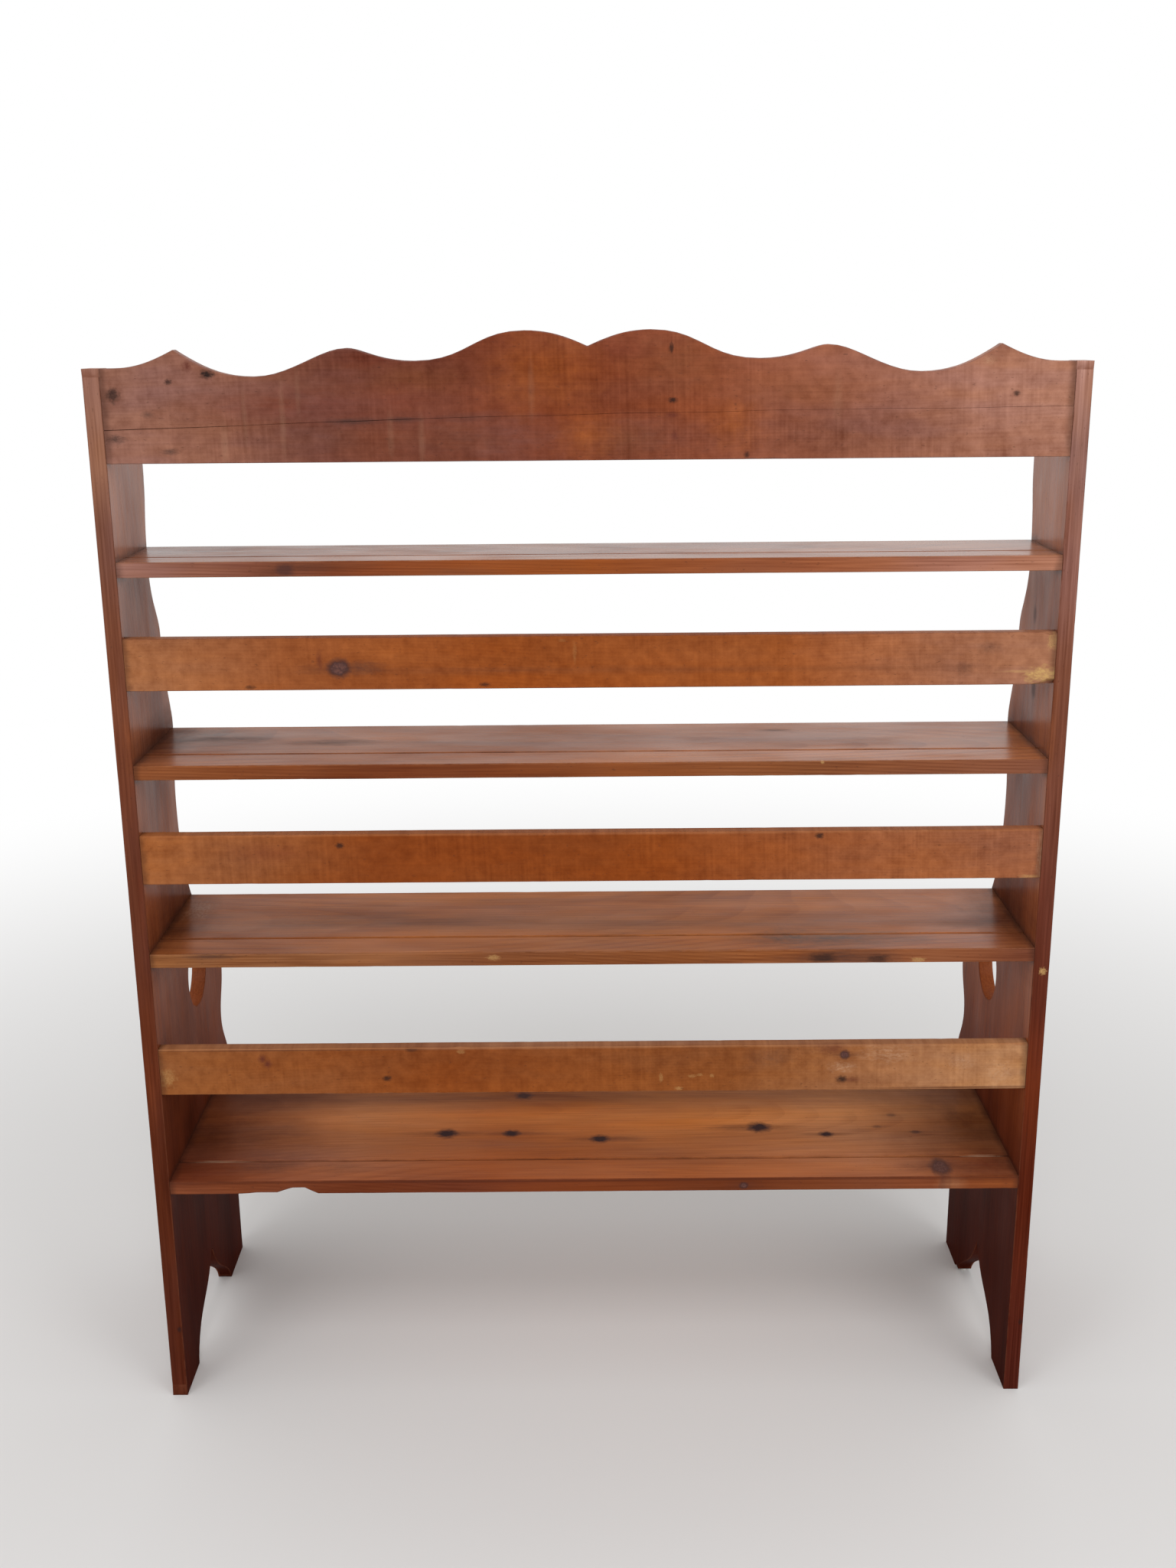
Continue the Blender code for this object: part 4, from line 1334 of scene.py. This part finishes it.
def lay_marks(wire, place, colour, dull, marks, kinds):
    """The colour with all the marks of these kinds laid over it, and where they dull the varnish."""
    for name, kind in kinds.items():
        own = [mark for mark in marks if mark.kind == name]
        if own:
            spots = place_spots(wire, place, own, kind)
            cover = strongest(wire, own, spots, "Fill")
            colour = wire.mix(cover, colour, kind.colour)
            if name == "ring_knot":
                colour = wire.mix(strongest(wire, own, spots, "Core"), colour, KNOT_MIDDLE)
            if name in DULL_KINDS:
                dull = wire.math("MAXIMUM", dull, cover)
    return colour, dull


def joint_distance(wire, axes, board):
    """How far a point lies from the nearest joint of its board. A side's outer face is far from all."""
    aside = wire.math("ABSOLUTE", axes[X])
    if board.slot != "side_pine":
        return wire.minus(INNER_X, aside)
    nearest = 1.0
    for low, high in SHELF_BOXES.values():
        above = wire.math("ABSOLUTE", wire.minus(axes[Z], (low.z + high.z) / 2))
        nearest = wire.math("MINIMUM", nearest, wire.minus(above, (high.z - low.z) / 2))
    outside = wire.times(wire.minus(aside, INNER_X), OUTSIDE_GROWTH)
    return wire.math("MAXIMUM", nearest, outside)


class PineSurface:
    """What a board's finish reads at each point: its place there, and the masks of the shared groups."""

    def __init__(self, wire, board):
        self.place = wire.place()
        self.axes = wire.separate(self.place)
        self.along, across, through = (self.axes[axis] for axis in board.axes)
        self.grain = wire.group(
            "pine_grain",
            {
                "Along": self.along,
                "Across": across,
                "Through": through,
                "Ring Width": RING_WIDTH,
                "Heart": HEART_DEPTH,
                "Lean": HEART_LEAN,
                "Seed": board.seed,
            },
        )
        if board.saw:
            sawn = {"Along": self.along, "Across": across, "Seed": board.seed}
            self.saw = wire.group("saw_marks", sawn)
        arris = {"Vector": self.place, "Arris": wire.attribute("arris")}
        self.wear = wire.group("arris_wear", arris)["Wear"]
        stretch = [1.0, 1.0, 1.0]
        stretch[board.axes[0]] = SCUFF_STRETCH
        streaks = wire.vector("MULTIPLY", self.place, stretch)
        self.scuffs = wire.group("varnish_scuffs", {"Vector": streaks})
        # Dirt and painted shade along the joints
        distance = joint_distance(wire, self.axes, board)
        dirt_and_shade = {"Vector": self.place, "Distance": distance, "Width": JOINT_DIRT_AND_SHADE_WIDTH}
        self.dirt_and_shade = wire.group("joint_dirt_and_shade", dirt_and_shade)["Dirt And Shade"]
        if board.edge_tones:
            self.edge = wire.step(self.axes[Y], NEAR_Y + EDGE_TONE_START, NEAR_Y + EDGE_TONE_FULL)


def pine_stain_and_shade(wire, board, surface):
    """The stain, uneven along and across the board, with its own on an outer face or a near edge, and the
    painted shade and light these tones hold: towards the floor on the sides, across the bottom shelf.
    """
    stain_and_shade = tone_ramp(wire, surface.along, board.tones)
    if board.depth_tones:
        stain_and_shade = wire.tint(stain_and_shade, tone_ramp(wire, surface.axes[Y], board.depth_tones))
    if board.outer_tones:
        aside = wire.math("ABSOLUTE", surface.axes[X])
        outer = wire.step(aside, OUTER_X - OUTER_TONE_START, OUTER_X - OUTER_TONE_FULL)
        stain_and_shade = wire.mix(outer, stain_and_shade, tone_ramp(wire, surface.along, board.outer_tones))
    if board.edge_tones:
        stain_and_shade = wire.mix(surface.edge, stain_and_shade, tone_ramp(wire, surface.along, board.edge_tones))
    return stain_and_shade


def pine_figure(wire, board, surface):
    """How bright the figure of the wood makes the stain, from 0 to 1."""
    fibre = wire.swing(surface.grain["Fibre"], SAWN_FIBRE if board.saw else PLANED_FIBRE)
    figure = wire.plus(wire.swing(surface.grain["Cloud"], CLOUD_FIGURE), fibre)
    figure = wire.times(figure, board.figure)
    figure = wire.scaled(surface.grain["Late Wood"], -board.rings, figure)
    if board.saw:
        figure = wire.plus(figure, wire.swing(surface.saw["Lines"], SAW_LINES * board.saw))
        figure = wire.plus(figure, wire.swing(surface.saw["Bands"], SAW_BANDS * board.saw))
        figure = wire.plus(figure, wire.swing(surface.saw["Mottle"], SAW_MOTTLE))
    return wire.plus(figure, FIGURE_MIDDLE, clamp=True)


def groove_dirt(wire, board, surface):
    """Old dirt along a shelf's plate groove, partly in patches."""
    wander = wire.swing(wire.noise(surface.place, GROOVE_WANDER_SCALE, detail=3.0), GROOVE_WANDER)
    aside = wire.plus(wire.minus(surface.axes[Y], NEAR_Y + board.groove), wander)
    aside = wire.math("ABSOLUTE", aside)
    patches = wire.step(aside, GROOVE_PATCHES_START, GROOVE_PATCHES_FULL)
    patches = wire.times(patches, wire.swing(surface.scuffs["Dull"], GROOVE_PATCHES))
    even = wire.times(wire.step(aside, GROOVE_EVEN_START, GROOVE_EVEN_FULL), board.groove_dirt)
    return wire.plus(patches, even, clamp=True)


def pine_colour(wire, board, surface):
    """The colour of a board with all that the years left on it and its painted light and shade, and where
    that dulls the varnish.
    """
    marks = [*face_marks(board), *board.knots, *knot_tails(board)]

    # The stain with its painted light and shade, deeper and brighter with the figure of the wood
    stain_and_shade = pine_stain_and_shade(wire, board, surface)
    stain_and_shade, dulled = lay_marks(wire, surface.place, stain_and_shade, 0.0, marks, STAIN_AND_PAINTED_LIGHT_KINDS)
    hue = wire.step(surface.grain["Hue"], COOL_BELOW, WARM_ABOVE)
    stain_and_shade = wire.mix(hue, wire.tint(stain_and_shade, COOL_STAIN), wire.tint(stain_and_shade, WARM_STAIN))
    figure = pine_figure(wire, board, surface)
    colour = wire.mix(figure, wire.tint(stain_and_shade, DEEP_FIGURE), wire.tint(stain_and_shade, BRIGHT_FIGURE))

    # Old dirt, marks and wear, with painted shade along the joints and a few painted highlights and
    # reflections
    if board.groove is not None:
        colour = wire.mix(groove_dirt(wire, board, surface), colour, GROOVE_DIRT)
    colour, dulled = lay_marks(wire, surface.place, colour, dulled, marks, MARK_KINDS)
    if board.node == "crest":
        colour = wire.cover(wire.attribute("check"), CHECK_COVER, colour, CHECK_DIRT)
    # Worn arrises; on the crest their colour is also a painted reflection
    colour = wire.cover(surface.wear, ARRIS_COVER, colour, board.arris_tone)
    # Dirt and painted shade along the joints
    colour = wire.cover(surface.dirt_and_shade, JOINT_COVER, colour, JOINT_DIRT_AND_SHADE)
    colour = wire.cover(surface.scuffs["Specks"], SPECK_COVER, colour, SPECK_DIRT)
    return colour, dulled


def old_varnish(wire, board, surface, dulled):
    """How much varnish is left: less where it is scuffed, worn or marked, and on a near edge."""
    scuffed = wire.swing(surface.scuffs["Dull"], SCUFF_THINNING)
    scuffed = wire.plus(scuffed, wire.swing(surface.grain["Fibre"], FIBRE_THINNING))
    varnish = wire.times(weight_ramp(wire, surface.along, board.varnish), wire.minus(1.0, scuffed))
    varnish = wire.times(varnish, wire.lessening(surface.wear, WEAR_THINNING), clamp=True)
    varnish = wire.times(varnish, wire.lessening(dulled, MARK_THINNING))
    if board.edge_tones:
        varnish = wire.times(varnish, wire.lessening(surface.edge, EDGE_THINNING))
    return varnish


def raised_grain(wire, board, surface):
    """The slightly raised grain, with the ridges that the saw left."""
    fibre = wire.times(surface.grain["Fibre"], FIBRE_RELIEF)
    height = wire.plus(fibre, wire.times(surface.grain["Late Wood"], RING_RELIEF))
    if board.saw:
        height = wire.scaled(surface.saw["Lines"], SAW_RELIEF * board.saw, height)
    return wire.bump(height, GRAIN_STRENGTH, GRAIN_HEIGHT)


def start_finish(name):
    """A new material with nothing in it, and its wiring."""
    material = bpy.data.materials.new(name)
    material.use_nodes = True
    material.node_tree.nodes.clear()
    return material, Wiring(material.node_tree)


def pine_finish(board):
    """Stained and varnished pine for one board."""
    material, wire = start_finish(board.node + "_stained_pine")
    surface = PineSurface(wire, board)
    colour, dulled = pine_colour(wire, board, surface)
    normal = raised_grain(wire, board, surface)
    shader = wire.add(
        "ShaderNodeBsdfPrincipled",
        {
            "Base Color": colour,
            "Roughness": wire.scaled(surface.scuffs["Dull"], SCUFF_ROUGHNESS, WOOD_ROUGHNESS),
            "Specular IOR Level": WOOD_SPECULAR,
            "Coat Weight": old_varnish(wire, board, surface, dulled),
            "Coat IOR": VARNISH_IOR,
            "Coat Roughness": VARNISH_ROUGHNESS,
            "Normal": normal,
            "Coat Normal": normal,
        },
    )
    wire.finish(shader)
    return material


def nail_finish():
    """Old cut iron: dark, with rust in patches."""
    material, wire = start_finish("old_cut_iron")
    place = wire.place()
    patches = wire.step(wire.noise(place, scale=420.0, detail=4.0, roughness=0.6), 0.42, 0.62)
    pits = wire.noise(place, scale=1500.0, detail=3.0, roughness=0.6)
    colour = wire.mix(patches, IRON_GREY, IRON_RUST)
    shader = wire.add(
        "ShaderNodeBsdfPrincipled",
        {
            "Base Color": wire.mix(wire.swing(pits, PIT_COVER), colour, IRON_PIT),
            "Metallic": wire.scaled(patches, -RUST_DULLING, IRON_SHINE),
            "Roughness": wire.scaled(patches, RUST_ROUGHNESS, IRON_ROUGHNESS),
            "Normal": wire.bump(pits, strength=0.5, distance=0.0002),
        },
    )
    wire.finish(shader)
    return material


def glide_finish():
    """White moulded plastic, soiled near the floor."""
    material, wire = start_finish("white_glide_plastic")
    place = wire.place()
    height = wire.separate(place)["Z"]
    grain = wire.noise(place, scale=900.0, detail=3.0, roughness=0.6)
    soil = wire.times(wire.step(height, SOIL_HEIGHT, 0.0), wire.step(grain, 0.30, 0.65))
    shader = wire.add(
        "ShaderNodeBsdfPrincipled",
        {
            "Base Color": wire.cover(soil, SOIL_COVER, PLASTIC_WHITE, PLASTIC_SOIL),
            "Roughness": wire.scaled(grain, PLASTIC_GRAIN, PLASTIC_ROUGHNESS),
            "Normal": wire.bump(grain, strength=0.25, distance=0.0001),
        },
    )
    wire.finish(shader)
    return material


def build_boards():
    for board in BOARDS:
        piece = board_copy(board)
        runs = ease_arrises(piece, board)
        wear_arrises(piece, board, runs)
        if board.node == "crest":
            open_check(piece)
        settle_normals(piece)
        piece.data.materials.append(pine_finish(board))
        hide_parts(board.node)
        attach(piece, "root")


def dress_hardware():
    iron = nail_finish()
    plastic = glide_finish()
    for name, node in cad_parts.items():
        if name.startswith("nail_"):
            node.data.materials.clear()
            node.data.materials.append(iron)
    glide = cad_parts["foot_glide"]
    glide.data.materials.clear()
    glide.data.materials.append(plastic)


def sight_rays(wire):
    """1 for rays that see the background directly, in a gloss or through glass."""
    path = wire.add("ShaderNodeLightPath").outputs
    seen = wire.math("MAXIMUM", path["Is Camera Ray"], path["Is Glossy Ray"])
    return wire.math("MAXIMUM", seen, path["Is Transmission Ray"])


def add_floor():
    """A pale floor that goes over into the white background."""
    bpy.ops.object.select_all(action="DESELECT")
    bpy.ops.mesh.primitive_plane_add(size=FLOOR_SIZE)
    floor = bpy.context.object
    floor.name = "pale_floor"
    material, wire = start_finish("pale_floor")
    far = wire.step(wire.vector("LENGTH", wire.place()), FLOOR_WHITENS_FROM, FLOOR_WHITE_AT)
    paint = wire.add("ShaderNodeBsdfDiffuse", {"Color": FLOOR_PAINT})
    white = wire.add("ShaderNodeEmission", {"Color": WHITE, "Strength": 1.0})
    wire.finish(wire.blend(wire.times(far, sight_rays(wire)), paint, white))
    floor.data.materials.append(material)


def light_room():
    """White to look at, and a softer even light on the object."""
    world = bpy.data.worlds.new("studio")
    world.use_nodes = True
    world.node_tree.nodes.clear()
    wire = Wiring(world.node_tree)
    even = wire.add("ShaderNodeBackground", {"Color": EVEN_LIGHT, "Strength": EVEN_LIGHT_STRENGTH})
    white = wire.add("ShaderNodeBackground", {"Color": WHITE, "Strength": 1.0})
    wire.finish(wire.blend(sight_rays(wire), even, white), "ShaderNodeOutputWorld")
    bpy.context.scene.world = world


def add_lamp(name, place, size, power):
    """A large soft lamp that faces the object."""
    lamp = bpy.data.lights.new(name, "AREA")
    lamp.shape = "SQUARE"
    lamp.size = size
    lamp.energy = power
    holder = bpy.data.objects.new(name, lamp)
    holder.location = place
    holder.rotation_euler = (Vector(LAMP_TARGET) - Vector(place)).to_track_quat("-Z", "Y").to_euler()
    bpy.context.scene.collection.objects.link(holder)


def add_camera():
    lens = bpy.data.cameras.new("view")
    lens.lens = CAMERA_LENS
    camera = bpy.data.objects.new("view", lens)
    turn = (
        Matrix.Rotation(-CAMERA_YAW, 4, "Z")
        @ Matrix.Rotation(math.pi / 2 - CAMERA_PITCH, 4, "X")
        @ Matrix.Rotation(CAMERA_ROLL, 4, "Z")
    )
    camera.matrix_world = Matrix.Translation(CAMERA_PLACE) @ turn
    bpy.context.scene.collection.objects.link(camera)
    bpy.context.scene.camera = camera


make_spot_group()
make_grain_group()
make_saw_group()
make_wear_group()
make_dirt_and_shade_group()
make_scuff_group()
build_boards()
dress_hardware()
add_floor()
light_room()
add_lamp("high_lamp", (0.0, -4.6, 6.8), size=2.2, power=110.0)
add_lamp("left_lamp", (-2.4, -2.9, 2.9), size=1.6, power=23.0)
add_lamp("right_lamp", (2.4, -2.9, 2.9), size=1.6, power=26.0)
add_camera()
bpy.context.scene.view_settings.view_transform = "Standard"
